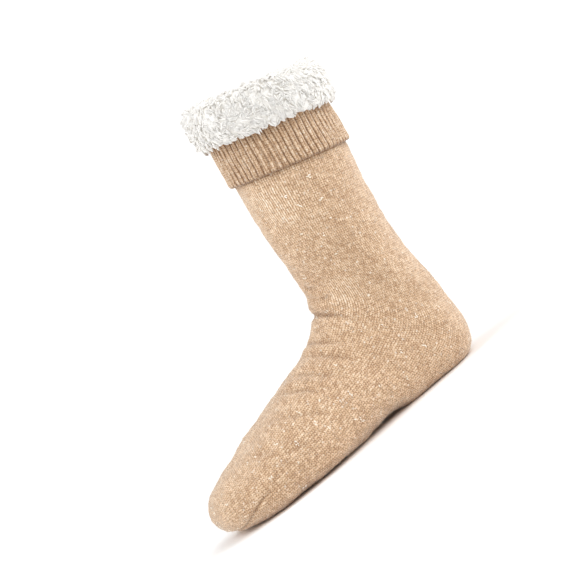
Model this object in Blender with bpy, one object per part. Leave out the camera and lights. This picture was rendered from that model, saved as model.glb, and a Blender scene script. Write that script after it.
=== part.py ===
"""Slipper sock for the left foot: knitted sock, ribbed turn-down cuff, fleece collar and fleece footbed.

The sock stands on its sole. Lengths below are in millimetres and are scaled to metres when a mesh is made.
Along the foot a place is given as s, the distance from the back of the heel towards the toe. Across it is
y, positive towards the little toe, and z is the height above the floor. In the model the toe points to -X,
the little toe's side faces -Y, and the origin is on the floor under the middle of the whole sock.
"""

import collections
import math
import random

import bmesh
import bpy
from mathutils import Vector
from mathutils.bvhtree import BVHTree

MM = 0.001

# Driving sizes
FOOT_LENGTH = 250.0
BALL_WIDTH = 99.0
INSTEP_HEIGHT = 78.0
HEEL_WIDTH = 74.0
ANKLE_FRONT = 87.0
HEM_DEPTH = 92.0
RIM_DEPTH = 91.0
RIM_WIDTH = 87.0
SHAFT_LEAN = math.radians(8.0)
CUFF_TILT = math.radians(14.5)
HEM_CENTRE = (36.0, 198.5)
ORIGIN_S = 111.2

KNIT_WALL = 3.0
GAP = 0.35
CUFF_HEIGHT = 58.0
CUFF_WALL = 2.6
RIB_COUNT = 60
RIB_RISE = 0.9
COLLAR_RISE = 9.0
COLLAR_DROP = 24.0
COLLAR_INSIDE_DROP = 22.0
PILE = 6.2
FOOTBED_THICK = 4.5
FOOTBED_EDGE = 1.2
FOOTBED_SIDE_GAP = 1.4
FOOTBED_UNDER_GAP = 0.5
FOOTBED_HEEL_GAP = 15.0
FOOTBED_TOE_GAP = 17.0
FOOTBED_SOUNDING = 20.0

# Mesh counts
SOCK_AROUND = 40
FOOTBED_STEPS = 30
COLLAR_AROUND = 84
LOCK_PITCH = 12.0
LOCK_RISE = 2.8
LOCK_SEED = 11

Section = collections.namedtuple(
    "Section", "name top_s top_z sole_s sole_z half_width mid_y belly crown base"
)


def leg_line(height):
    """Centre, front point and back point (s, z) of the straight shaft, height above the hem of the cuff."""
    share = height / CUFF_HEIGHT
    centre_s = HEM_CENTRE[0] - height * math.sin(SHAFT_LEAN)
    centre_z = HEM_CENTRE[1] + height * math.cos(SHAFT_LEAN)
    half = (HEM_DEPTH + (RIM_DEPTH - HEM_DEPTH) * share) / 2
    reach_s = half * math.cos(CUFF_TILT)
    reach_z = half * math.sin(CUFF_TILT)
    front = (centre_s + reach_s, centre_z + reach_z)
    back = (centre_s - reach_s, centre_z - reach_z)
    return (centre_s, centre_z), front, back


def shaft_section(name, height, half_width):
    """A section of the straight shaft, an ellipse in the tilted plane of the cuff."""
    _, front, back = leg_line(height)
    return Section(name, *front, *back, half_width, 0.0, 0.5, 2.0, 2.0)


def sections():
    """The last's sections from toe tip to rim.

    A row's plane holds its top point, its sole or back point and the y axis. top and sole are (s, z); belly
    is the share of the height where the section is widest, and crown and base are the exponents of its
    upper and lower half, 2 for an ellipse and more for a squarer one. Soles below 0 are pressed flat by
    the floor.
    """
    tip = FOOT_LENGTH
    ball = BALL_WIDTH / 2
    instep = INSTEP_HEIGHT
    heel = HEEL_WIDTH / 2
    front = ANKLE_FRONT
    rim = RIM_WIDTH / 2
    rows = [
        Section("tip", tip - 1.2, 24.5, tip - 1.2, 12.5, 13.5, -8.0, 0.48, 2.0, 2.2),
        Section("toe_1", tip - 4.0, 30.0, tip - 4.0, 8.0, 22.0, -7.5, 0.46, 2.0, 2.3),
        Section("toe_2", tip - 9.0, 36.0, tip - 9.0, 4.4, 30.0, -6.5, 0.45, 2.0, 2.4),
        Section("toe_3", tip - 16.5, 41.5, tip - 16.5, 1.4, 37.0, -5.0, 0.44, 2.0, 2.5),
        Section("toe_4", tip - 27.0, 45.5, tip - 27.0, -0.6, 42.3, -3.5, 0.43, 2.0, 2.6),
        Section("toes", tip - 41.0, 50.0, tip - 42.0, -1.6, 46.4, -2.0, 0.42, 2.0, 2.8),
        Section("knuckles", tip - 56.0, 55.5, tip - 59.0, -1.6, 48.7, -0.8, 0.41, 2.0, 2.9),
        Section("ball", tip - 72.0, 60.5, tip - 78.0, -1.6, ball, 0.2, 0.40, 2.0, 3.0),
        Section("tread", tip - 87.0, 65.5, tip - 97.0, -1.6, 48.6, 1.0, 0.39, 2.0, 3.0),
        Section("waist_1", tip - 102.0, 70.0, tip - 116.0, -0.6, 46.2, 1.5, 0.38, 1.95, 2.9),
        Section("waist_2", tip - 117.0, 74.0, tip - 136.0, 1.4, 43.4, 1.5, 0.37, 1.95, 2.7),
        Section("instep", tip - 131.0, instep, tip - 155.0, 1.6, 41.0, 1.2, 0.37, 1.95, 2.6),
        Section("throat_1", tip - 142.5, 83.5, 77.0, -1.2, 39.2, 0.8, 0.38, 2.0, 2.9),
        Section("throat_2", front + 12.5, 89.5, 60.0, -2.4, 38.2, 0.4, 0.40, 2.0, 3.2),
        Section("crease", front + 6.8, 96.0, 42.0, -2.4, heel + 0.7, 0.0, 0.43, 2.05, 3.2),
        Section("ankle_1", front + 3.2, 102.5, 25.0, -2.2, heel + 0.2, 0.0, 0.46, 2.05, 3.1),
        Section("heel_1", front + 1.2, 109.5, 11.5, 2.4, heel, 0.0, 0.48, 2.05, 2.8),
        Section("heel_2", front + 0.2, 117.5, 3.6, 11.0, heel, 0.0, 0.50, 2.05, 2.5),
        Section("heel_3", front - 0.2, 126.0, 0.2, 25.0, heel, 0.0, 0.52, 2.05, 2.2),
        Section("heel_4", front - 0.4, 135.0, 0.0, 42.0, heel + 0.2, 0.0, 0.53, 2.05, 2.15),
        Section("heel_5", front - 0.7, 145.0, 0.9, 61.0, heel + 0.6, 0.0, 0.54, 2.05, 2.1),
        Section("shin_1", front - 1.1, 156.5, 2.7, 83.5, heel + 1.1, 0.0, 0.53, 2.0, 2.05),
        Section("shin_2", front - 1.8, 169.5, 3.2, 108.5, heel + 1.9, 0.0, 0.52, 2.0, 2.0),
        Section("shin_3", front - 2.9, 183.0, 1.1, 134.5, heel + 3.2, 0.0, 0.51, 2.0, 2.0),
        Section("shin_4", front - 4.4, 197.0, -3.0, 161.0, heel + 4.8, 0.0, 0.50, 2.0, 2.0),
        shaft_section("hem", 0.0, rim - 0.9),
        shaft_section("cuff_middle", CUFF_HEIGHT / 2, rim - 0.45),
        shaft_section("rim", CUFF_HEIGHT, rim),
    ]
    return rows


def placed(s, y, z):
    """A point of the last in the model's frame, in metres."""
    return Vector(((ORIGIN_S - s) * MM, -y * MM, z * MM))


def signed_power(value, power):
    return math.copysign(abs(value) ** power, value)


def section_point(row, angle):
    """The outer surface at this angle round a section: 0 is the outer side, a quarter turn the top."""
    across, up = math.cos(angle), math.sin(angle)
    exponent = row.crown if up >= 0 else row.base
    share = row.belly + signed_power(up, 2 / exponent) * ((1 - row.belly) if up >= 0 else row.belly)
    s = row.sole_s + (row.top_s - row.sole_s) * share
    z = row.sole_z + (row.top_z - row.sole_z) * share
    y = row.mid_y + row.half_width * signed_power(across, 2 / exponent)
    return placed(s, y, max(z, 0.0))


def material(name, colour, roughness):
    """A cloth material of one colour."""
    made = bpy.data.materials.new(name)
    made.use_nodes = True
    shader = made.node_tree.nodes["Principled BSDF"]
    shader.inputs["Base Color"].default_value = (*colour, 1.0)
    shader.inputs["Roughness"].default_value = roughness
    shader.inputs["Metallic"].default_value = 0.0
    made.diffuse_color = (*colour, 1.0)
    return made


def add_object(name, mesh_maker, finish):
    """Turns a filled bmesh into a named object, smooth and with its faces pointing out."""
    bmesh.ops.recalc_face_normals(mesh_maker, faces=mesh_maker.faces)
    mesh = bpy.data.meshes.new(name)
    mesh_maker.to_mesh(mesh)
    mesh_maker.free()
    mesh.shade_smooth()
    mesh.materials.append(finish)
    made = bpy.data.objects.new(name, mesh)
    bpy.context.scene.collection.objects.link(made)
    return made


def bridge_rings(shape, first, second):
    """Quads between two rings of vertices with the same count."""
    count = len(first)
    for i in range(count):
        j = (i + 1) % count
        shape.faces.new((first[i], first[j], second[j], second[i]))


def cap_ring(shape, ring, pole):
    """Triangles from a ring to a single vertex."""
    count = len(ring)
    for i in range(count):
        shape.faces.new((ring[i], pole, ring[(i + 1) % count]))


def skin(rows, around):
    """An open skin of the last's outer surface: the bmesh, its rings from toe to rim, and the tip vertex."""
    shape = bmesh.new()
    rings = []
    for row in rows:
        angles = [2 * math.pi * i / around for i in range(around)]
        rings.append([shape.verts.new(section_point(row, a)) for a in angles])
    tip_z = (rows[0].top_z + rows[0].sole_z) / 2
    tip = shape.verts.new(placed(FOOT_LENGTH, rows[0].mid_y, tip_z))
    for first, second in zip(rings, rings[1:]):
        bridge_rings(shape, second, first)
    cap_ring(shape, rings[0], tip)
    bmesh.ops.recalc_face_normals(shape, faces=shape.faces)
    shape.normal_update()
    return shape, rings, tip


def knit_sock(finish):
    """The knitted sock: toe, foot, heel and leg in one hollow solid, open at the rim."""
    shape, rings, tip = skin(sections(), SOCK_AROUND)
    inwards = {}
    for vertex in [*shape.verts]:
        inwards[vertex] = vertex.co - vertex.normal * KNIT_WALL * MM
    inner = {}
    for vertex, place in inwards.items():
        lowest = vertex.co.z + KNIT_WALL * MM if vertex.co.z <= 0.0 else place.z
        inner[vertex] = shape.verts.new((place.x, place.y, max(place.z, lowest)))
    for first, second in zip(rings, rings[1:]):
        bridge_rings(shape, [inner[v] for v in first], [inner[v] for v in second])
    cap_ring(shape, [inner[v] for v in reversed(rings[0])], inner[tip])
    bridge_rings(shape, rings[-1], [inner[v] for v in rings[-1]])
    return add_object("knit_sock", shape, finish)


def shaft_point(angle, offset, height):
    """A point this far outside the shaft's surface, at this height above the hem. Angle 0 is the front."""
    centre, front, _ = leg_line(height)
    half_depth = math.hypot(front[0] - centre[0], front[1] - centre[1])
    rim = RIM_WIDTH / 2
    half_width = rim - 0.9 + 0.9 * height / CUFF_HEIGHT
    reach = (half_depth + offset) * math.cos(angle)
    s = centre[0] + reach * math.cos(CUFF_TILT)
    z = centre[1] + reach * math.sin(CUFF_TILT)
    return placed(s, (half_width + offset) * math.sin(angle), z)


def ring_solid(profile_at, around):
    """A closed ring: profile_at gives a closed outline of (offset, height) for each step round the shaft."""
    shape = bmesh.new()
    loops = []
    for i in range(around):
        angle = 2 * math.pi * i / around
        outline = profile_at(i, angle)
        loops.append([shape.verts.new(shaft_point(angle, o, h)) for o, h in outline])
    for i in range(around):
        bridge_rings(shape, loops[i], loops[(i + 1) % around])
    return shape


def rib_cuff(finish):
    """The turn-down cuff: a ribbed band round the shaft, its hem a rounded fold that stands off the leg."""
    top = CUFF_HEIGHT - 1.0
    groove = GAP + CUFF_WALL

    def outline(step, _angle):
        rise = RIB_RISE if step % 2 == 0 else 0.0
        return [
            (GAP, 0.0),
            (GAP + 0.5, -1.1),
            (groove - 0.4 + 0.3 * rise, -1.0),
            (groove + 0.35 + rise, 2.2),
            (groove + rise, 12.0),
            (groove + rise, 36.0),
            (groove - 0.2, top),
            (GAP, top),
        ]

    return add_object("rib_cuff", ring_solid(outline, 2 * RIB_COUNT), finish)


CollarPoint = collections.namedtuple("CollarPoint", "offset height fur")


def collar_outline():
    """The collar's cross-section over the rim, as (offset, height above the rim) and its share of fur.

    It starts in the slot that takes the rim, runs down the outer limb's back, under it, up its fluffy
    face, over the top and down the inner limb.
    """
    cuff_face = GAP + CUFF_WALL + RIB_RISE + GAP
    inner_face = -KNIT_WALL - GAP - 0.15
    outer = cuff_face + PILE
    inner = inner_face - PILE
    low, deep = -COLLAR_DROP, -COLLAR_INSIDE_DROP
    return [
        CollarPoint(cuff_face, GAP + 0.3, 0.0),
        CollarPoint(cuff_face, low * 0.5, 0.0),
        CollarPoint(cuff_face, low + 1.6, 0.0),
        CollarPoint(cuff_face + 1.8, low - 0.4, 0.8),
        CollarPoint(cuff_face + 4.0, low + 0.2, 1.2),
        CollarPoint(outer - 0.9, low + 2.6, 1.0),
        CollarPoint(outer - 0.1, low + 6.0, 1.0),
        CollarPoint(outer + 0.3, low + 9.5, 1.0),
        CollarPoint(outer + 0.5, low + 13.0, 1.0),
        CollarPoint(outer + 0.5, low + 16.5, 1.0),
        CollarPoint(outer + 0.3, low + 20.0, 1.0),
        CollarPoint(outer - 0.2, low + 23.5, 1.0),
        CollarPoint(outer - 1.2, 2.8, 1.0),
        CollarPoint(outer - 3.0, 5.8, 1.0),
        CollarPoint(outer - 5.6, 8.2, 1.0),
        CollarPoint(outer - 8.8, COLLAR_RISE - 0.4, 1.0),
        CollarPoint((outer + inner) / 2 - 0.6, COLLAR_RISE, 1.0),
        CollarPoint(inner + 5.0, 8.6, 1.0),
        CollarPoint(inner + 2.2, 6.0, 1.0),
        CollarPoint(inner + 0.6, 2.6, 1.0),
        CollarPoint(inner, -1.4, 1.0),
        CollarPoint(inner + 0.1, -6.0, 0.8),
        CollarPoint(inner + 0.6, -12.0, 0.5),
        CollarPoint(inner + 1.6, deep + 3.0, 0.2),
        CollarPoint(inner_face - 2.4, deep, 0.0),
        CollarPoint(inner_face, deep + 1.0, 0.0),
        CollarPoint(inner_face, deep * 0.5, 0.0),
        CollarPoint(inner_face, GAP + 0.3, 0.0),
    ]


def lock_centres(length, span):
    """Places of the fleece's locks on the unrolled collar: (along the rim, along the outline, size)."""
    chance = random.Random(LOCK_SEED)
    columns = round(length / LOCK_PITCH)
    lines = round(span / (LOCK_PITCH * 0.78))
    found = []
    for line in range(lines):
        for column in range(columns):
            along = (column + 0.5 * (line % 2) + chance.uniform(-0.28, 0.28)) * length / columns
            down = (line + 0.5 + chance.uniform(-0.25, 0.25)) * span / lines
            found.append((along, down, chance.uniform(0.8, 1.15)))
    return found


def lock_height(along, down, centres, length):
    """How far the fused locks stand out at a place on the unrolled collar, 0 to about 1."""
    tallest = 0.0
    for centre_along, centre_down, size in centres:
        aside = abs(along - centre_along)
        aside = min(aside, length - aside) / (0.56 * LOCK_PITCH * size)
        below = (down - centre_down) / (0.62 * LOCK_PITCH * size)
        near = 1.0 - aside * aside - below * below
        if near > 0.0:
            tallest = max(tallest, size * math.sqrt(near))
    return tallest


def fleece_collar(finish):
    """The turned-out top of the fleece: a fluffy roll over the rim, its locks fused into one solid."""
    base = collar_outline()
    count = len(base)
    run = [0.0]
    for a, b in zip(base, base[1:]):
        run.append(run[-1] + math.hypot(b.offset - a.offset, b.height - a.height))
    length = math.pi * (RIM_DEPTH + RIM_WIDTH) / 2 + 2 * math.pi * PILE
    centres = lock_centres(length, run[-1])

    def outline(step, _angle):
        points = []
        along = length * step / COLLAR_AROUND
        for i, point in enumerate(base):
            before, after = base[i - 1], base[(i + 1) % count]
            aim = Vector((after.height - before.height, before.offset - after.offset)).normalized()
            rise = lock_height(along, run[i], centres, length) - 0.45
            shift = LOCK_RISE * rise * point.fur
            points.append(
                (
                    point.offset + aim.x * shift,
                    CUFF_HEIGHT + point.height + aim.y * shift,
                )
            )
        return points

    return add_object("fleece_collar", ring_solid(outline, COLLAR_AROUND), finish)


def footbed_loop(wall, s):
    """One closed cross-section of the footbed, fitted to the inside of the sock's wall at s."""
    centre = placed(s, 0.0, FOOTBED_SOUNDING)
    down = Vector((0, 0, -1))
    low = wall.ray_cast(centre, down)[0].z + FOOTBED_UNDER_GAP * MM
    reach = {}
    for side in (-1, 1):
        aside = Vector((0, side, 0))
        heights = (low + 0.6 * MM, low + FOOTBED_THICK * MM)
        reach[side] = min(wall.ray_cast(Vector((centre.x, 0, z)), aside)[3] for z in heights)
        reach[side] -= FOOTBED_SIDE_GAP * MM
    loop = []
    for share in (-1.0, -0.6, 0.0, 0.6, 1.0):
        y = share * reach[-1 if share < 0 else 1]
        ground = wall.ray_cast(Vector((centre.x, y, centre.z)), down)[0].z + FOOTBED_UNDER_GAP * MM
        edge = FOOTBED_EDGE * MM if abs(share) == 1.0 else 0.0
        loop.append((centre.x, y, max(low, ground) + edge))
    for share in (1.0, 0.9, 0.45, 0.0, -0.45, -0.9, -1.0):
        y = share * reach[-1 if share < 0 else 1]
        edge = FOOTBED_EDGE * MM if abs(share) == 1.0 else 0.0
        loop.append((centre.x, y, low + FOOTBED_THICK * MM - edge))
    return loop


def fleece_footbed(sock, finish):
    """The footbed: the fleece under the foot, cut to the inside of the sock and following its sole."""
    wall = BVHTree.FromObject(sock, bpy.context.evaluated_depsgraph_get())
    length = FOOT_LENGTH - FOOTBED_HEEL_GAP - FOOTBED_TOE_GAP
    shape = bmesh.new()
    loops = []
    for i in range(FOOTBED_STEPS + 1):
        s = FOOTBED_HEEL_GAP + length * (1 - math.cos(math.pi * i / FOOTBED_STEPS)) / 2
        loops.append([shape.verts.new(p) for p in footbed_loop(wall, s)])
    for first, second in zip(loops, loops[1:]):
        bridge_rings(shape, first, second)
    shape.faces.new(loops[0])
    shape.faces.new(list(reversed(loops[-1])))
    bmesh.ops.triangulate(shape, faces=shape.faces)
    return add_object("fleece_footbed", shape, finish)


def main():
    for old in list(bpy.data.objects):
        bpy.data.objects.remove(old)
    knit = material("marled_knit", (0.63, 0.45, 0.29), 0.92)
    rib = material("marled_rib", (0.60, 0.42, 0.27), 0.92)
    fleece = material("white_fleece", (0.86, 0.85, 0.82), 0.95)
    sock = knit_sock(knit)
    rib_cuff(rib)
    fleece_collar(fleece)
    fleece_footbed(sock, fleece)


main()
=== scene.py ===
"""The slipper sock, dressed: heathered knit, ribbed turn-down cuff, fleece roll, lining and footbed.

Lengths in the classes below are in millimetres unless a docstring says otherwise. Along the foot a place is
given as s, the distance from the back of the heel towards the toe. Across it is y, positive towards the
little toe, and z is the height above the floor. Last.placed turns such points into the frame's metres, where
the toe points to -X and the little toe's side faces -Y.
"""

import logging
import math
from dataclasses import dataclass, field, replace
from enum import Enum
from typing import NamedTuple

import bpy
import numpy as np
from mathutils import Matrix, Vector


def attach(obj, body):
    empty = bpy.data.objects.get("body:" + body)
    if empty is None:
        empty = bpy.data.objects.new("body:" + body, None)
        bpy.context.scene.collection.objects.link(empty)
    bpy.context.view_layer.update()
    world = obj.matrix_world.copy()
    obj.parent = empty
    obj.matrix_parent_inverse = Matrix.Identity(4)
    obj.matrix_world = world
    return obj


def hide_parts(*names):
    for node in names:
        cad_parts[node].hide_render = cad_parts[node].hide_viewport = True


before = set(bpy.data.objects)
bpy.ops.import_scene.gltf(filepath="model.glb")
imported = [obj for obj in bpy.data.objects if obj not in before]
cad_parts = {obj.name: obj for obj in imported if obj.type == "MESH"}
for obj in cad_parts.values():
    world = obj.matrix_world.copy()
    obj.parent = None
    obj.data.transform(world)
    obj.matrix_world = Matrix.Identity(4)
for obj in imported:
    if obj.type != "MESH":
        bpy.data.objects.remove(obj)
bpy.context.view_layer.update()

Array = np.ndarray
Colour = tuple[float, float, float]
Socket = bpy.types.NodeSocket
Feed = Socket | float | tuple[float, ...]

LOG = logging.getLogger("slipper_sock")
MM = 0.001
TURN = 2 * math.pi

# The fine grid that the surface is measured on: rows to a section of the last, and points round it
FINE_ROWS = 24
FINE_ANGLES = 720
# The knit's thickness, the clear gap between layers, the cuff's thickness and how far its ribs stand out
KNIT_WALL = 3.0
GAP = 0.35
CUFF_WALL = 2.6
RIB_RISE = 0.9
# The cuff's rows of points above this one are under the fleece
FIRST_SHOWN = 14
# The height of a row of stitches and the width of a column
COURSE_PITCH = 1.75
WALE_PITCH = 2.1


def smooth_step(value: Array) -> Array:
    """Eases values from 0 to 1, and holds them outside that range."""
    held = np.clip(value, 0.0, 1.0)
    return held * held * (3.0 - 2.0 * held)


def bump_of(value: Array, centre: float, width: float) -> Array:
    """A bell curve of height 1 round centre."""
    return np.exp(-(((value - centre) / width) ** 2))


def unit(vectors: Array) -> Array:
    """The same directions at length 1."""
    return vectors / np.maximum(np.linalg.norm(vectors, axis=-1, keepdims=True), 1e-9)


def curve_through(points: Array, steps: int) -> Array:
    """A smooth open curve through the points.

    Args:
        points: The points to pass through, one a row.
        steps: Points on the curve for each span between two of them.

    Returns:
        The curve's points, the first and last of the given ones included.
    """
    ends = np.vstack([2 * points[0] - points[1], points, 2 * points[-1] - points[-2]])
    share = np.linspace(0.0, 1.0, steps, endpoint=False)[None, :, None]
    spans = blended(ends[:-3, None], ends[1:-2, None], ends[2:-1, None], ends[3:, None], share)
    return np.vstack([spans.reshape(-1, points.shape[1]), points[-1:]])


def run_along(points: Array) -> Array:
    """The distance along a line of points at each of them, from 0 at the first."""
    return np.concatenate([[0.0], np.cumsum(np.linalg.norm(np.diff(points, axis=0), axis=1))])


def blended(before: Array, start: Array, end: Array, after: Array, share: Array) -> Array:
    """The smooth value between two points of a curve.

    Args:
        before: The value before the first one.
        start: The first.
        end: The second.
        after: The value after that.
        share: How far the place is from start towards end.

    Returns:
        The value there.
    """
    slope = end - before
    bend = 2 * before - 5 * start + 4 * end - after
    twist = 3 * start - before - 3 * end + after
    return 0.5 * (2 * start + share * (slope + share * (bend + share * twist)))


class Row(NamedTuple):
    """One section of the last. Its plane holds its top point, its sole or back point and the y axis.

    Attributes:
        name: What part of the sock it crosses.
        top_s: Where its top point lies along the foot.
        top_z: That point's height.
        sole_s: Where its sole or back point lies along the foot.
        sole_z: That point's height.
        half_width: Half its width.
        mid_y: The middle of its width.
        belly: Where it is widest, as a share of the way from sole to top.
        crown: The power of its curve above that; 2 is an ellipse, and more is squarer.
        base: The power of its curve below.
    """

    name: str
    top_s: float
    top_z: float
    sole_s: float
    sole_z: float
    half_width: float
    mid_y: float
    belly: float
    crown: float
    base: float


@dataclass(frozen=True)
class Skin:
    """A grid of points over the last: rings from toe to rim with even steps round each.

    Attributes:
        points: Places by ring and step, in mm; step 0 is the top of the foot and the front of the leg.
        normals: Outward directions at the points.
        pole: The point of the toe.
    """

    points: Array
    normals: Array
    pole: Array

    def inset(self, depth: float, floor: float) -> "Skin":
        """The same grid this far inside, and nowhere lower than floor.

        Args:
            depth: How far inside.
            floor: The lowest height that a point may have.

        Returns:
            The new grid.
        """
        points = self.points - self.normals * depth
        points[..., 2] = np.maximum(points[..., 2], floor)
        pole = self.pole - np.array([depth, 0.0, 0.0])
        return Skin(points, self.normals, pole)

    def every(self, rings: int, first: int, last: int) -> "Skin":
        """Fewer rings of the same grid: each one in this many, between two of them and with the last."""
        picked = np.unique([*range(first, last, rings), last])
        return Skin(self.points[picked], self.normals[picked], self.pole)


@dataclass(frozen=True)
class Last:
    """The form that every piece is laid on: a foot and a straight leg, set by a few real sizes.

    Attributes:
        foot_length: From the back of the heel to the toe.
        ball_width: The width at the ball.
        instep_height: The height of the instep.
        heel_width: The width of the heel.
        ankle_front: How far the front of the ankle lies from the back of the heel.
        hem_depth: From front to back at the cuff's hem.
        rim_depth: The same at the rim.
        rim_width: The width at the rim.
        hem_taper: How much narrower each side is at the hem.
        shaft_lean: How far the shaft leans back.
        cuff_tilt: How far the cuff's front is tilted up.
        hem_s: Where the middle of the hem lies along the foot.
        hem_z: Its height.
        cuff_height: From the hem to the rim.
        origin_s: Where the frame's origin lies along the foot.
        tip_y: How far the toe lies towards the outer side; less than 0 is the inner side.
        tip_z: Its height.
        floor_ease: How softly the sole is pressed flat.
    """

    foot_length: float = 250.0
    ball_width: float = 99.0
    instep_height: float = 78.0
    heel_width: float = 74.0
    ankle_front: float = 87.0
    hem_depth: float = 92.0
    rim_depth: float = 91.0
    rim_width: float = 87.0
    hem_taper: float = 0.9
    shaft_lean: float = math.radians(8.0)
    cuff_tilt: float = math.radians(14.5)
    hem_s: float = 36.0
    hem_z: float = 198.5
    cuff_height: float = 58.0
    origin_s: float = 111.2
    tip_y: float = -8.0
    tip_z: float = 18.5
    floor_ease: float = 1.0

    def placed(self, points: Array) -> Array:
        """Points of the last in the frame's metres."""
        return np.stack([self.origin_s - points[..., 0], -points[..., 1], points[..., 2]], axis=-1) * MM

    def shaft(self, angle: Array, offset: Array, height: Array) -> Array:
        """Points round the straight shaft.

        Args:
            angle: Turn from the front towards the outer side.
            offset: Distance outside the knit's surface.
            height: Height above the cuff's hem, along the shaft.

        Returns:
            The points as (s, y, z).
        """
        share = height / self.cuff_height
        half_depth = (self.hem_depth + (self.rim_depth - self.hem_depth) * share) / 2
        half_width = self.rim_width / 2 - self.hem_taper + self.hem_taper * share
        reach = (half_depth + offset) * np.cos(angle)
        s = self.hem_s - height * math.sin(self.shaft_lean) + reach * math.cos(self.cuff_tilt)
        z = self.hem_z + height * math.cos(self.shaft_lean) + reach * math.sin(self.cuff_tilt)
        y = (half_width + offset) * np.sin(angle)
        return np.stack(np.broadcast_arrays(s, y, z), axis=-1)

    def under_hem(self, points: Array) -> Array:
        """How far each point lies below the plane of the cuff's hem; less than 0 above it."""
        s, z = points[..., 0] - self.hem_s, points[..., 2] - self.hem_z
        return s * math.sin(self.cuff_tilt) - z * math.cos(self.cuff_tilt)

    def shaft_row(self, name: str, height: float) -> Row:
        """A section of the straight shaft, an ellipse in the tilted plane of the cuff.

        Args:
            name: The section's name.
            height: Its height above the cuff's hem, along the shaft.

        Returns:
            The section.
        """
        front = self.shaft(np.array(0.0), np.array(0.0), np.array(height))
        back = self.shaft(np.array(math.pi), np.array(0.0), np.array(height))
        half_width = self.rim_width / 2 - self.hem_taper + self.hem_taper * height / self.cuff_height
        return Row(name, front[0], front[2], back[0], back[2], half_width, 0.0, 0.5, 2.0, 2.0)

    def rows(self) -> list[Row]:
        """The last's sections.

        Returns:
            The sections from toe tip to rim. Soles below 0 are pressed flat by the floor.
        """
        tip = self.foot_length
        ball = self.ball_width / 2
        heel = self.heel_width / 2
        front = self.ankle_front
        return [
            Row("tip", tip - 1.2, 24.5, tip - 1.2, 12.5, 13.5, self.tip_y, 0.48, 2.0, 2.2),
            Row("toe_1", tip - 4.0, 30.0, tip - 4.0, 8.0, 22.0, -7.5, 0.46, 2.0, 2.3),
            Row("toe_2", tip - 9.0, 36.0, tip - 9.0, 4.4, 30.0, -6.5, 0.45, 2.0, 2.4),
            Row("toe_3", tip - 16.5, 41.5, tip - 16.5, 1.4, 37.0, -5.0, 0.44, 2.0, 2.5),
            Row("toe_4", tip - 27.0, 45.5, tip - 27.0, -0.6, 42.3, -3.5, 0.43, 2.0, 2.6),
            Row("toes", tip - 41.0, 50.0, tip - 42.0, -1.6, 46.4, -2.0, 0.42, 2.0, 2.8),
            Row("knuckles", tip - 56.0, 55.5, tip - 59.0, -1.6, 48.7, -0.8, 0.41, 2.0, 2.9),
            Row("ball", tip - 72.0, 60.5, tip - 78.0, -1.6, ball, 0.2, 0.40, 2.0, 3.0),
            Row("tread", tip - 87.0, 65.5, tip - 97.0, -1.6, 48.6, 1.0, 0.39, 2.0, 3.0),
            Row("waist_1", tip - 102.0, 70.0, tip - 116.0, -0.6, 46.2, 1.5, 0.38, 1.95, 2.9),
            Row("waist_2", tip - 117.0, 74.0, tip - 136.0, 1.4, 43.4, 1.5, 0.37, 1.95, 2.7),
            Row("instep", tip - 131.0, self.instep_height, tip - 155.0, 1.6, 41.0, 1.2, 0.37, 1.95, 2.6),
            Row("throat_1", tip - 142.5, 83.5, 77.0, -1.2, 39.2, 0.8, 0.38, 2.0, 2.9),
            Row("throat_2", front + 12.5, 89.5, 60.0, -2.4, 38.2, 0.4, 0.40, 2.0, 3.2),
            Row("crease", front + 6.8, 96.0, 42.0, -2.4, heel + 0.7, 0.0, 0.43, 2.05, 3.2),
            Row("ankle_1", front + 3.2, 102.5, 25.0, -2.2, heel + 0.2, 0.0, 0.46, 2.05, 3.1),
            Row("heel_1", front + 1.2, 109.5, 11.5, 2.4, heel, 0.0, 0.48, 2.05, 2.8),
            Row("heel_2", front + 0.2, 117.5, 3.6, 11.0, heel, 0.0, 0.50, 2.05, 2.5),
            Row("heel_3", front - 0.2, 126.0, 0.2, 25.0, heel, 0.0, 0.52, 2.05, 2.2),
            Row("heel_4", front - 0.4, 135.0, 0.0, 42.0, heel + 0.2, 0.0, 0.53, 2.05, 2.15),
            Row("heel_5", front - 0.7, 145.0, 0.9, 61.0, heel + 0.6, 0.0, 0.54, 2.05, 2.1),
            Row("shin_1", front - 1.1, 156.5, 2.7, 83.5, heel + 1.1, 0.0, 0.53, 2.0, 2.05),
            Row("shin_2", front - 1.8, 169.5, 3.2, 108.5, heel + 1.9, 0.0, 0.52, 2.0, 2.0),
            Row("shin_3", front - 2.9, 183.0, 1.1, 134.5, heel + 3.2, 0.0, 0.51, 2.0, 2.0),
            Row("shin_4", front - 4.4, 197.0, -3.0, 161.0, heel + 4.8, 0.0, 0.50, 2.0, 2.0),
            self.shaft_row("hem", 0.0),
            self.shaft_row("cuff_middle", self.cuff_height / 2),
            self.shaft_row("rim", self.cuff_height),
        ]

    def table(self) -> Array:
        """The numbers that the surface is blended from.

        Returns:
            Those of the rows, with the toe's pole before them and one spare row past each end.
        """
        rows = [list(row[1:]) for row in self.rows()]
        tip = self.rows()[0]
        pole = [self.foot_length, self.tip_z, self.foot_length, self.tip_z, 0.0, tip.mid_y, *rows[0][6:]]
        mirrored = [tip.sole_s, tip.sole_z, tip.top_s, tip.top_z, -tip.half_width, tip.mid_y, *rows[0][6:]]
        beyond = list(self.shaft_row("beyond", self.cuff_height * 1.5)[1:])
        return np.array([mirrored, pole, *rows, beyond])

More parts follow.
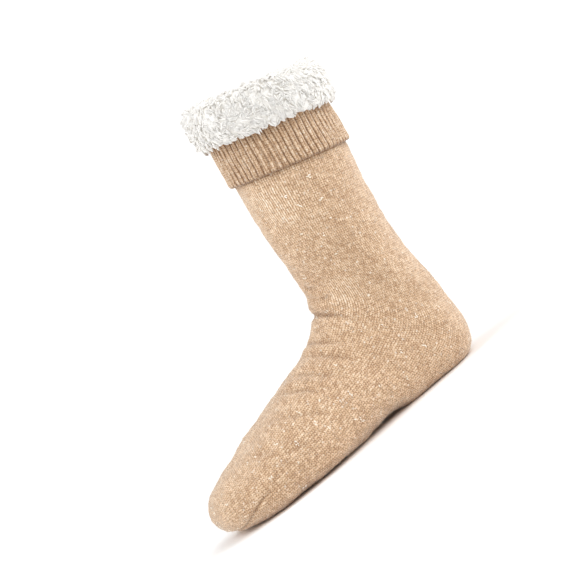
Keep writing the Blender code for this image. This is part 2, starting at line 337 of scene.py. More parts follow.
    def surface(self, along: Array, angle: Array) -> Array:
        """Points of the knit's outer surface.

        Args:
            along: Row numbers, 0 at the toe's pole and one more at each row up to the rim.
            angle: Turn round the section, 0 at the outer side and a quarter turn at the top.

        Returns:
            The points as (s, y, z).
        """
        table = self.table()
        first = np.clip(np.floor(along).astype(int), 0, len(table) - 4)
        share = (along - first)[..., None]
        values = blended(table[first], table[first + 1], table[first + 2], table[first + 3], share)
        top_s, top_z, sole_s, sole_z, half_width, mid_y, belly, crown, base = np.moveaxis(values, -1, 0)
        across, up = np.cos(angle), np.sin(angle)
        power = 2 / np.where(up >= 0, crown, base)
        span = np.where(up >= 0, 1 - belly, belly)
        height = belly + np.sign(up) * np.abs(up) ** power * span
        s = sole_s + (top_s - sole_s) * height
        z = sole_z + (top_z - sole_z) * height
        y = mid_y + half_width * np.sign(across) * np.abs(across) ** power
        pressed = 0.5 * (z + np.sqrt(z * z + self.floor_ease**2))
        return np.stack([s, y, pressed], axis=-1)

    def skin(self, rings: int, around: int) -> Skin:
        """The outer surface as a grid of points at even steps, measured on a finer grid.

        Args:
            rings: Rings from the toe to the rim.
            around: Points in each.

        Returns:
            The grid.
        """
        rows = len(self.rows())
        stations = np.linspace(0.0, rows, FINE_ROWS * rows + 1)
        angles = np.linspace(0.0, TURN, FINE_ANGLES) + math.pi / 2
        sheet = self.surface(stations[:, None], angles[None, :])
        steps = np.linalg.norm(np.diff(sheet, axis=0), axis=2).mean(axis=1)
        run = np.concatenate([[0.0], np.cumsum(steps)])
        stations = np.interp(np.linspace(0.0, run[-1], rings + 1)[1:], run, stations)
        sheet = self.surface(stations[:, None], angles[None, :])
        points = np.empty((rings, around, 3))
        for ring, loop in enumerate(sheet):
            run = run_along(loop)
            marks = np.linspace(0.0, run[-1], around, endpoint=False)
            for axis in range(3):
                points[ring, :, axis] = np.interp(marks, run, loop[:, axis])
        pole = np.array([self.foot_length, self.tip_y, self.tip_z])
        return Skin(points, grid_normals(points), pole)


def grid_normals(points: Array) -> Array:
    """Outward directions of a grid of rings that run from toe to rim.

    Args:
        points: The grid.

    Returns:
        A direction for each of its points.
    """
    along = np.gradient(points, axis=0)
    across = np.roll(points, -1, axis=1) - np.roll(points, 1, axis=1)
    return unit(np.cross(along, across))


@dataclass(frozen=True)
class Ripple:
    """A soft uneven relief made of plane waves in every direction.

    Attributes:
        wavelength: Their mean length.
        height: The mean height of the relief.
        seed: The seed of the random draws.
        waves: How many there are.
    """

    wavelength: float
    height: float
    seed: int
    waves: int = 22

    def relief(self, points: Array) -> Array:
        """The relief at these places.

        Args:
            points: The places.

        Returns:
            How far the surface stands out at each.
        """
        chance = np.random.default_rng(self.seed)
        aims = unit(chance.normal(size=(self.waves, 3)))
        lengths = self.wavelength * chance.uniform(0.75, 1.35, self.waves)
        phases = chance.uniform(0.0, TURN, self.waves)
        total = np.zeros(points.shape[:-1])
        for aim, length, phase in zip(aims, lengths, phases):
            total += np.sin(points @ (aim * TURN / length) + phase)
        return total * self.height / math.sqrt(self.waves / 2)


# Points on a fold's curve for each span of its path
FOLD_STEPS = 14
# How much of the knit a fold may move: this many widths from its path, and as many mm more
FOLD_REACH = 4.0
# Where the ridge beside a fold is highest and how broad it is, in widths
RIDGE_AT = 2.1
RIDGE_WIDTH = 1.1
# A point of the knit this far through the sock lies on its other side, and is taken to be well away
THROUGH_SOCK = 9.0
WELL_AWAY = 40.0


@dataclass(frozen=True)
class Fold:
    """A crease pressed into the knit, or a soft roll where depth is below 0.

    Attributes:
        path: Points (s, y, z) near the surface that the crease follows.
        width: How far from its line the trough has mostly gone.
        depth: How deep it is.
        ridge: How high the knit is pushed up beside it.
        fade: The share of its length over which each end runs out.
    """

    path: tuple[tuple[float, float, float], ...]
    width: float
    depth: float
    ridge: float = 0.0
    fade: float = 0.4

    def relief(self, skin: Skin) -> Array:
        """How the crease moves a skin along its normals.

        Args:
            skin: The skin.

        Returns:
            The move at each of its points.
        """
        track = curve_through(np.array(self.path, dtype=float), FOLD_STEPS)
        run = run_along(track)
        share = run / run[-1]
        ends = smooth_step(share / self.fade) * smooth_step((1.0 - share) / self.fade)
        margin = FOLD_REACH * self.width + FOLD_REACH
        points = skin.points.reshape(-1, 3)
        low, high = track.min(axis=0) - margin, track.max(axis=0) + margin
        inside = np.all((points > low) & (points < high), axis=1)
        away = points[inside][:, None, :] - track[None, :, :]
        lift = np.einsum("ptk,pk->pt", away, skin.normals.reshape(-1, 3)[inside])
        flat = np.sqrt(np.maximum((away**2).sum(axis=2) - lift**2, 0.0))
        flat += WELL_AWAY * (np.abs(lift) > THROUGH_SOCK)
        nearest = flat.argmin(axis=1)
        distance = flat[np.arange(len(nearest)), nearest]
        trough = bump_of(distance, 0.0, self.width)
        shoulder = bump_of(distance, RIDGE_AT * self.width, RIDGE_WIDTH * self.width)
        found = np.zeros(len(points))
        found[inside] = (self.ridge * shoulder - self.depth * trough) * ends[nearest]
        return found.reshape(skin.points.shape[:2])


# The deep crease across the front of the ankle, a soft roll on each side, and small folds
ANKLE_FOLDS = (
    Fold(((72, -35, 73), (80, -30, 82), (88, -21.5, 90.5), (92.8, -10, 95.2), (93.6, 1, 96.2),
          (91.8, 12, 94.2), (84.4, 24.6, 86), (78.9, 30.5, 76.5), (73.5, 34, 69)),
         width=2.4, depth=1.9, ridge=0.7),
    Fold(((84, -20, 99), (88.8, -4, 103.5), (87, 12, 101.5), (79.5, 23.5, 95.5), (71, 31.5, 87)),
         width=4.2, depth=-1.5),
    Fold(((94, -22, 84), (100.8, -2, 90.5), (98.5, 13, 87.5), (90.5, 25.5, 79), (82, 33, 68)),
         width=4.4, depth=-1.8),
    Fold(((87, -9, 107.5), (88.6, 1, 107.5), (86.4, 12.5, 104.5), (79.3, 23.2, 101.5), (73, 28.5, 98)),
         width=1.9, depth=1.8, ridge=0.6, fade=0.45),
    Fold(((86.5, -8, 118.5), (87.6, 2, 117), (84.5, 15, 113.5), (79, 22.5, 111)),
         width=2.2, depth=1.3, ridge=0.5, fade=0.5),
    Fold(((109, -20, 77), (113, -3, 86), (105.4, 18.6, 77.8), (95.8, 28.3, 70.6), (86.1, 32.8, 64.8)),
         width=2.6, depth=1.3, ridge=0.5),
    Fold(((83, 18.5, 92), (78, 25.5, 89.5), (72.5, 30, 84)),
         width=1.6, depth=1.1, ridge=0.3, fade=0.5),
    Fold(((85.5, -14, 134), (86.9, 0, 132), (82, 18, 127), (72, 28, 121)),
         width=3.4, depth=0.6, ridge=0.3, fade=0.5),
)

# The soft bands across the instep and down to the outer side, and a few on the inner side
FOOT_FOLDS = (
    Fold(((123, -8, 77.5), (119, 12, 76), (111, 25, 68), (101, 33, 57), (93, 37.5, 46)),
         width=3, depth=1, ridge=0.5),
    Fold(((141, -6, 72), (136, 14, 70), (128, 27, 63.5), (118, 36, 53), (109, 40, 42)),
         width=3.2, depth=1.1, ridge=0.6),
    Fold(((159, -3, 67), (153.4, 12.9, 65), (147, 24, 61), (139.4, 33.1, 55.5), (131, 39, 47)),
         width=3.1, depth=1.15, ridge=0.6),
    Fold(((178, 12, 58), (171.1, 27, 53.5), (160, 37, 46.5), (148, 43, 40), (136, 45.5, 33)),
         width=3, depth=1, ridge=0.5),
    Fold(((200.7, 38, 36), (186, 44.5, 33.5), (170.9, 47.5, 31), (156, 48, 27)),
         width=2.8, depth=0.9, ridge=0.45),
    Fold(((214, 18, 44), (203, 29, 42.5), (190, 36.5, 42.5), (178, 40.5, 42)),
         width=3, depth=0.7, ridge=0.4),
    Fold(((132, -10, 73), (126, -24, 68), (117, -33, 58), (108, -37, 46)),
         width=3.2, depth=0.9, ridge=0.45),
    Fold(((165, -12, 63), (158, -27, 57), (148, -37, 48), (139, -42, 38)),
         width=3.2, depth=0.9, ridge=0.45),
    Fold(((190, -22, 52), (180, -36, 44.5), (168, -43, 36)),
         width=3.4, depth=0.5, ridge=0.3),
    Fold(((95, 39.2, 30), (82, 38.6, 36), (70, 37.4, 46), (62, 36, 58)),
         width=4, depth=0.4, ridge=0.2, fade=0.45),
)

# Shallow drags in the leg below the cuff
LEG_FOLDS = (
    Fold(((82, -2, 196), (77, 18, 189), (67, 30, 183)),
         width=3.2, depth=0.5, ridge=0.25, fade=0.5),
    Fold(((85, 4, 176), (78, 20, 168), (66, 33, 163)),
         width=3.6, depth=0.45, ridge=0.2, fade=0.5),
    Fold(((85.5, -6, 157), (83, 12, 151), (73, 28, 145)),
         width=3.6, depth=0.5, ridge=0.25, fade=0.5),
    Fold(((34, 40.5, 176), (48, 39.8, 168), (60, 36, 156)),
         width=4.5, depth=0.35, ridge=0.2, fade=0.5),
    Fold(((82, -16, 184), (72, -29, 176), (58, -38, 172)),
         width=3.6, depth=0.45, ridge=0.2, fade=0.5),
    Fold(((84.5, -14, 150), (75, -27, 141), (60, -35, 137)),
         width=3.6, depth=0.45, ridge=0.2, fade=0.5),
)

# The seam round the toe, and the dimples along it
TOE_FOLDS = (
    Fold(((196, -46.5, 20.5), (212, -45, 19), (224, -39.5, 16), (233, -31.5, 12.5), (239.5, -20, 8.8),
          (242, -6, 7.2), (241.2, 8, 7), (238.2, 19.4, 8.2), (234.4, 28, 12), (226.9, 35.8, 16.4),
          (219, 40.2, 18.8), (206, 44.6, 20.4)),
         width=1.5, depth=1.35, ridge=0.55, fade=0.16),
    Fold(((231, 32, 20.5), (234, 29.5, 20)),
         width=1.6, depth=0.7, ridge=0.3, fade=0.5),
    Fold(((211.5, 43, 23), (208.5, 43.8, 23.5)),
         width=1.8, depth=0.7, ridge=0.3, fade=0.5),
    Fold(((187.5, 48.3, 25), (183.5, 48.6, 25.5)),
         width=1.8, depth=0.6, ridge=0.3, fade=0.5),
    Fold(((237.5, 27.5, 15), (235, 29.5, 16)),
         width=1.4, depth=0.5, ridge=0.2, fade=0.5),
)


def linked(name: str, data: bpy.types.ID) -> bpy.types.Object:
    """A new object with this name and data, in the scene."""
    made = bpy.data.objects.new(name, data)
    bpy.context.scene.collection.objects.link(made)
    return made


class Corners(NamedTuple):
    """Faces with the same number of corners, and the stitch count (wales, courses) at each corner."""

    faces: Array
    stitches: Array | None = None


def shaped_piece(name: str, points: Array, groups: list[Corners], **marks: Array) -> bpy.types.Object:
    """Makes a closed, smooth-shaded mesh piece whose faces look out.

    Args:
        name: The piece's name.
        points: Its vertices in the frame's metres.
        groups: Its faces; where any group has stitches, all have.
        **marks: A value for every vertex, by the name that a finish reads it under.

    Returns:
        The new object, linked to the scene.
    """
    volume = 0.0
    for group in groups:
        first = points[group.faces[:, 0]]
        for corner in range(1, group.faces.shape[1] - 1):
            second, third = points[group.faces[:, corner]], points[group.faces[:, corner + 1]]
            volume += float(np.einsum("ij,ij->", first, np.cross(second, third)))
    order = slice(None) if volume > 0 else slice(None, None, -1)
    loops = np.concatenate([group.faces[:, order].ravel() for group in groups])
    sizes = np.concatenate([np.full(len(group.faces), group.faces.shape[1]) for group in groups])
    mesh = bpy.data.meshes.new(name)
    mesh.vertices.add(len(points))
    mesh.vertices.foreach_set("co", points.ravel())
    mesh.loops.add(len(loops))
    mesh.loops.foreach_set("vertex_index", loops.astype(np.int32))
    mesh.polygons.add(len(sizes))
    starts = np.concatenate([[0], np.cumsum(sizes)[:-1]])
    mesh.polygons.foreach_set("loop_start", starts.astype(np.int32))
    if groups[0].stitches is not None:
        stitches = np.concatenate([group.stitches[:, order].reshape(-1, 2) for group in groups])
        mesh.uv_layers.new(name="stitches").data.foreach_set("uv", stitches.ravel())
    for mark, values in marks.items():
        mesh.attributes.new(mark, "FLOAT", "POINT").data.foreach_set("value", values.ravel())
    mesh.update(calc_edges=True)
    mesh.shade_smooth()
    return linked(name, mesh)


def grid_quads(rows: int, columns: int, first: int = 0, closed: bool = False) -> Array:
    """Quads of a grid that closes on itself along its columns.

    Args:
        rows: Rings of vertices.
        columns: Vertices in a ring.
        first: Index of the grid's first vertex.
        closed: Whether the last ring is joined to the first as well.

    Returns:
        The quads, one a row.
    """
    row = np.arange(rows if closed else rows - 1)[:, None]
    step = np.arange(columns)[None, :]
    after = (step + 1) % columns
    here, there = row * columns + first, (row + 1) % rows * columns + first
    return np.stack([here + step, there + step, there + after, here + after], axis=-1).reshape(-1, 4)


def shell_of(outer: Skin, inner: Skin) -> tuple[Array, list[Array], Array]:
    """A hollow shell of two skins, closed at the toe by each pole and joined at the rim.

    Args:
        outer: The skin outside.
        inner: The skin inside, with as many points to a ring.

    Returns:
        The points, the quads (outside, inside and rim) and the triangles round the two poles.
    """
    rings, around = outer.points.shape[:2]
    inner_rings = len(inner.points)
    points = [outer.points.reshape(-1, 3), outer.pole, inner.points.reshape(-1, 3), inner.pole]
    pole = rings * around
    first = pole + 1
    inner_pole = first + inner_rings * around
    step = np.arange(around)
    after = (step + 1) % around
    low, high = pole - around, inner_pole - around
    quads = [
        grid_quads(rings, around),
        grid_quads(inner_rings, around, first)[:, ::-1],
        np.stack([low + after, low + step, high + step, high + after], axis=-1),
    ]
    caps = [
        np.stack([step, after, np.full(around, pole)], axis=-1),
        np.stack([first + after, first + step, np.full(around, inner_pole)], axis=-1),
    ]
    return np.vstack(points), quads, np.vstack(caps)


# How little cloth shines, and how soft its sheen is
CLOTH_SHINE = 0.15
SHEEN_ROUGHNESS = 0.55


class Graph:
    """A node material that is built up a step at a time."""

    def __init__(self, name: str) -> None:
        """Starts a material with its shader.

        Args:
            name: The material's name.
        """
        self.material = bpy.data.materials.new(name)
        self.material.use_nodes = True
        self.tree = self.material.node_tree
        self.shader = self.tree.nodes["Principled BSDF"]

    def node(
        self, kind: str, inputs: dict[str | int, Feed] | None = None, **settings: str
    ) -> bpy.types.Node:
        """Adds a node.

        Args:
            kind: Its type.
            inputs: What goes into it, by the name or number of the input.
            **settings: Its properties.

        Returns:
            The node.
        """
        made = self.tree.nodes.new(kind)
        for key, value in settings.items():
            setattr(made, key, value)
        for key, value in (inputs or {}).items():
            self.feed(made.inputs[key], value)
        return made

    def feed(self, socket: Socket, value: Feed) -> None:
        """Fills an input.

        Args:
            socket: The input.
            value: Another node's output, which is linked to it, or a number or colour, which is set on it.
        """
        if isinstance(value, Socket):
            self.tree.links.new(value, socket)
        else:
            socket.default_value = value

    def math(self, operation: str, *values: Feed) -> Socket:
        """The result of a Math node."""
        return self.node("ShaderNodeMath", dict(enumerate(values)), operation=operation).outputs[0]

    def total(self, *shares: tuple[float, Feed]) -> Socket:
        """Adds up values.

        Args:
            *shares: Each value with what it is multiplied by first.

        Returns:
            The sum.
        """
        found = self.math("MULTIPLY", shares[0][1], shares[0][0])
        for share, value in shares[1:]:
            found = self.math("MULTIPLY_ADD", value, share, found)
        return found

    def mix(self, share: Feed, first: Feed, second: Feed, blend: str = "MIX") -> Socket:
        """A mix of two colours."""
        inputs = {0: share, 6: first, 7: second}
        return self.node("ShaderNodeMix", inputs, data_type="RGBA", blend_type=blend).outputs[2]

    def ramp(self, value: Feed, *stops: tuple[float, Colour]) -> Socket:
        """Turns a value into a colour.

        Args:
            value: The value.
            *stops: The colours that it passes through, each with its value.

        Returns:
            The colour.
        """
        made = self.node("ShaderNodeValToRGB", {0: value})
        elements = made.color_ramp.elements
        while len(elements) < len(stops):
            elements.new(0.5)
        for element, (place, colour) in zip(elements, stops):
            element.position = place
            element.color = (*colour, 1.0)
        return made.outputs[0]

    def noise(self, vector: Feed, scale: float, detail: float = 2.0, roughness: float = 0.5) -> Socket:
        """A noise texture's value, about 0.5 on average."""
        inputs = {"Vector": vector, "Scale": scale, "Detail": detail, "Roughness": roughness}
        return self.node("ShaderNodeTexNoise", inputs).outputs[0]

    def white(self, vector: Feed) -> Socket:
        """An even random value for each place."""
        return self.node("ShaderNodeTexWhiteNoise", {"Vector": vector}).outputs["Value"]

    def eased(self, value: Feed, low: float, high: float) -> Socket:
        """0 up to low, 1 from high, and smooth between them."""
        inputs = {"Value": value, "From Min": low, "From Max": high}
        return self.node("ShaderNodeMapRange", inputs, interpolation_type="SMOOTHSTEP").outputs[0]

    def place(self) -> Socket:
        """The place on the object, in metres."""
        return self.node("ShaderNodeTexCoord").outputs["Object"]

    def mark(self, name: str) -> Socket:
        """The value that the mesh holds under this name."""
        return self.node("ShaderNodeAttribute", attribute_name=name).outputs["Fac"]

    def vector(self, x: Feed, y: Feed, z: Feed) -> Socket:
        """Three values as a vector."""
        return self.node("ShaderNodeCombineXYZ", {0: x, 1: y, 2: z}).outputs[0]

    def whole(self, vector: Feed) -> Socket:
        """The vector with each part rounded down."""
        return self.node("ShaderNodeVectorMath", {0: vector}, operation="FLOOR").outputs[0]

    def bump(self, height: Feed, distance: float, strength: float) -> Socket:
        """A normal that follows this relief."""
        inputs = {"Height": height, "Distance": distance, "Strength": strength}
        return self.node("ShaderNodeBump", inputs).outputs[0]

    def surface(self, **inputs: Feed) -> None:
        """Sets these inputs of the shader, named with _ for each space."""
        for name, value in inputs.items():
            self.feed(self.shader.inputs[name.replace("_", " ")], value)

    def cloth(self, colour: Feed, normal: Feed, roughness: float, sheen: float, tint: Colour) -> None:
        """Sets the shader up as a matt cloth."""
        self.surface(Base_Color=colour, Normal=normal, Roughness=roughness, Specular_IOR_Level=CLOTH_SHINE)
        self.surface(Sheen_Weight=sheen, Sheen_Roughness=SHEEN_ROUGHNESS, Sheen_Tint=(*tint, 1.0))


@dataclass(frozen=True)
class MarledKnit:
    """Heathered yarn, knitted: tan with cream and a little brown, mixed from stitch to stitch.

    Colours are linear. The mesh's UV map counts wales across and courses along. Its marks are shade, 1 where
    the light gets in and less where shade is painted into the colour, as in a crease, and wale, how plainly
    the columns of stitches show.

    Attributes:
        name: The material's name.
        umber: The darkest yarn.
        brown: The next, at 0.28 of the way to the palest.
        tan: The middle one.
        sand: A pale one, at 0.72.
        cream: The palest.
        fleck: The colour of the small flecks.
        crease: The colour of the painted shade, which the yarn's colour is multiplied by in a crease and
            wherever else shade is painted.
        columns: How far the columns of stitches stand out: more where they show plainly, and everywhere.
        rows: The same for the rows.
        slant: How far a row drops from the middle of a stitch to its edge.
        stitch_depth: The height of the stitches, in metres.
        stitch_bump: How strongly they show.
        fuzz: The grain's height beside that of the stitches.
        shares: The parts of stitch, streak, grain, patch, ply and relief in the lightness of the yarn; the
            relief's part is painted shade, darker between the stitches' loops.
        lowered: What is taken off their sum.
        streaks: How fast the streaks change across and along.
        plies: The spots of colour in one stitch, across and along.
        grain_scale: The scale of the yarn's grain.
        patch_scale: The scale of the broad patches.
        fleck_scale: The scale of the flecks.
        fleck_chance: The random values between which a fleck appears.
        fleck_edge: Where a fleck begins to fade and where it ends.
        fleck_strength: How far it covers the yarn.
        roughness: How matt the yarn is.
        sheen: How much light its nap catches.
        sheen_tint: That light's colour.
    """

    name: str
    umber: Colour = (0.34, 0.195, 0.105)
    brown: Colour = (0.51, 0.325, 0.195)
    tan: Colour = (0.71, 0.49, 0.31)
    sand: Colour = (0.87, 0.675, 0.485)
    cream: Colour = (0.97, 0.92, 0.81)
    fleck: Colour = (0.96, 0.92, 0.84)
    crease: Colour = (0.42, 0.33, 0.25)
    columns: tuple[float, float] = (0.44, 0.27)
    rows: tuple[float, float] = (-0.26, 0.40)
    slant: float = 1.3
    stitch_depth: float = 0.0007
    stitch_bump: float = 0.65
    fuzz: float = 0.6
    shares: tuple[float, ...] = (0.34, 0.36, 0.56, 0.18, 0.44, 1.0)
    lowered: float = 1.02
    streaks: tuple[float, float] = (0.16, 3.7)
    plies: tuple[float, float] = (4.0, 3.0)
    grain_scale: float = 1050.0
    patch_scale: float = 40.0
    fleck_scale: float = 330.0
    fleck_chance: tuple[float, float] = (0.86, 0.92)
    fleck_edge: tuple[float, float] = (0.16, 0.36)
    fleck_strength: float = 0.5
    roughness: float = 0.95
    sheen: float = 0.5
    sheen_tint: Colour = (1.0, 0.94, 0.86)

    def material(self) -> bpy.types.Material:
        """Makes the yarn's material.

        Returns:
            The material.
        """
        graph = Graph(self.name)
        split = graph.node("ShaderNodeSeparateXYZ")
        graph.feed(split.inputs[0], graph.node("ShaderNodeUVMap", uv_map="stitches").outputs[0])
        wale, course = split.outputs[0], split.outputs[1]
        place = graph.place()
        side = graph.math("ABSOLUTE", graph.math("SUBTRACT", graph.math("FRACT", wale), 0.5))
        across = graph.math("MULTIPLY_ADD", graph.math("MULTIPLY", side, side), -4.0, 1.0)
        turn = graph.math("MULTIPLY_ADD", side, self.slant, course)
        wave = graph.math("COSINE", graph.math("MULTIPLY", turn, TURN))
        along = graph.math("MULTIPLY_ADD", wave, 0.5, 0.5)
        plainly = graph.mark("wale")
        columns = graph.math("MULTIPLY", across, graph.math("MULTIPLY_ADD", plainly, *self.columns))
        rows = graph.math("MULTIPLY", along, graph.math("MULTIPLY_ADD", plainly, *self.rows))
        loops = graph.math("ADD", columns, rows)
        colour = self.yarn(graph, wale, turn, loops, place)
        grain = graph.noise(place, self.grain_scale, 3.0, 0.65)
        relief = graph.total((1.0, loops), (self.fuzz, grain))
        normal = graph.bump(relief, self.stitch_depth, self.stitch_bump)
        graph.cloth(colour, normal, self.roughness, self.sheen, self.sheen_tint)
        return graph.material

    def yarn(self, graph: Graph, wale: Socket, course: Socket, loops: Socket, place: Socket) -> Socket:
        """The mixed colour of the yarn at each stitch, with painted shade in it.

        Args:
            graph: The material being made.
            wale: The count of stitches across.
            course: The count of stitches along, which bends with each stitch.
            loops: The relief of the stitches.
            place: The place on the object.

        Returns:
            The colour.
        """
        row = graph.math("FLOOR", course)
        stitch = graph.white(graph.vector(graph.math("FLOOR", wale), row, 0.0))
        across, along = self.streaks
        run = graph.vector(graph.math("MULTIPLY", wale, across), graph.math("MULTIPLY", row, along), 0.0)
        streak = graph.noise(run, 1.0)
        across, along = self.plies
        cell = graph.vector(graph.math("MULTIPLY", wale, across), graph.math("MULTIPLY", course, along), 0.5)
        ply = graph.white(graph.whole(cell))
        grain = graph.noise(place, self.grain_scale, 2.0, 0.7)
        patch = graph.noise(place, self.patch_scale, 3.0, 0.6)
        # The stitches' relief darkens the colour between their loops: painted shade
        mixed = graph.total(*zip(self.shares, (stitch, streak, grain, patch, ply, loops)))
        value = graph.math("SUBTRACT", mixed, self.lowered)
        colours = (self.umber, self.brown, self.tan, self.sand, self.cream)
        ramp = graph.ramp(value, *zip((0.0, 0.28, 0.50, 0.72, 1.0), colours))
        cells = graph.node("ShaderNodeTexVoronoi", {"Vector": place, "Scale": self.fleck_scale})
        chosen = graph.eased(graph.white(cells.outputs["Color"]), *self.fleck_chance)
        spot = graph.math("SUBTRACT", 1.0, graph.eased(cells.outputs["Distance"], *self.fleck_edge))
        covered = graph.math("MULTIPLY", graph.math("MULTIPLY", chosen, spot), self.fleck_strength)
        flecked = graph.mix(covered, ramp, (*self.fleck, 1.0))
        # Painted shade: the colour is multiplied by the crease colour where the shade mark is less than 1
        painted_shade = graph.mix(1.0, flecked, (*self.crease, 1.0), "MULTIPLY")
        return graph.mix(graph.mark("shade"), painted_shade, flecked)


@dataclass(frozen=True)
class PaleYarn:
    """The pale yarn of the slubs and loose hairs: cream, with a fine grain.

    Attributes:
        name: The material's name.
        dull: Its darker colour.
        bright: Its paler colour.
        grain_scale: The scale of its grain.
        patch_scale: The scale of its broader changes.
        relief: The grain's height, in metres.
        strength: How strongly the grain shows.
    """

    name: str = "pale_yarn"
    dull: Colour = (0.88, 0.76, 0.61)
    bright: Colour = (0.99, 0.95, 0.87)
    grain_scale: float = 900.0
    patch_scale: float = 90.0
    relief: float = 0.0005
    strength: float = 0.7

    def material(self) -> bpy.types.Material:
        """Makes the pale yarn's material.

        Returns:
            The material.
        """
        graph = Graph(self.name)
        place = graph.place()
        grain = graph.noise(place, self.grain_scale, 2.0, 0.6)
        patch = graph.noise(place, self.patch_scale, 1.0)
        colour = graph.ramp(graph.total((0.5, grain), (0.5, patch)), (0.35, self.dull), (0.65, self.bright))
        graph.cloth(colour, graph.bump(grain, self.relief, self.strength), 0.95, 0.2, (1.0, 0.97, 0.92))
        return graph.material


@dataclass(frozen=True)
class Fleece:
    """White pile, shaded by its own strands. Its mark is tone, less towards the roots.

    The roots are a little paler than the tips, as painted light for what real fibres let through to them.

    Attributes:
        name: The material's name.
        root: The colour at the roots, paler as painted light.
        tip: The colour at the tips.
        curl_scale: The scale of the fine curls.
        curl_depth: Their height, in metres.
        strength: How strongly they show.
        through: How much light goes into the pile and comes out beside.
        through_distance: How far that light goes, in metres.
    """

    name: str
    root: Colour = (0.95, 0.935, 0.905)
    tip: Colour = (0.845, 0.825, 0.79)
    curl_scale: float = 420.0
    curl_depth: float = 0.0005
    strength: float = 0.15
    through: float = 0.4
    through_distance: float = 0.0015

    def material(self) -> bpy.types.Material:
        """Makes the fleece's material.

        Returns:
            The material.
        """
        graph = Graph(self.name)
        place = graph.place()
        curl = graph.noise(place, self.curl_scale, 3.0, 0.6)
        # Less tone, towards the roots and on the base, gives the paler root colour: painted light
        share = graph.total((0.8, graph.mark("tone")), (0.4, curl))
        colour = graph.ramp(share, (0.35, self.root), (1.0, self.tip))
        graph.cloth(colour, graph.bump(curl, self.curl_depth, self.strength), 0.9, 0.15, (1.0, 1.0, 1.0))
        graph.surface(Subsurface_Weight=self.through, Subsurface_Scale=self.through_distance)
        graph.surface(Subsurface_Radius=(1.0, 1.0, 1.0))
        return graph.material


@dataclass(frozen=True)
class PaleFloor:
    """A plain matt white floor.

    Attributes:
        name: The material's name.
        colour: The floor's colour.
    """

    name: str = "pale_floor"
    colour: Colour = (0.93, 0.93, 0.93)

    def material(self) -> bpy.types.Material:
        """Makes the floor's material.

        Returns:
            The material.
        """
        graph = Graph(self.name)
        graph.surface(Base_Color=(*self.colour, 1.0), Roughness=0.9, Specular_IOR_Level=0.0)
        return graph.material


def dress(piece: bpy.types.Object, finish: bpy.types.Material, node: str | None = None) -> None:
    """Gives a piece its finish, its body and its slot, and hides the solid that it stands for.

    Args:
        piece: The piece.
        finish: Its material.
        node: The solid that it replaces, if any.
    """
    piece.data.materials.append(finish)
    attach(piece, "root")
    if node:
        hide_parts(node)
    LOG.info("%s: %d triangles", piece.name, sum(len(face.vertices) - 2 for face in piece.data.polygons))


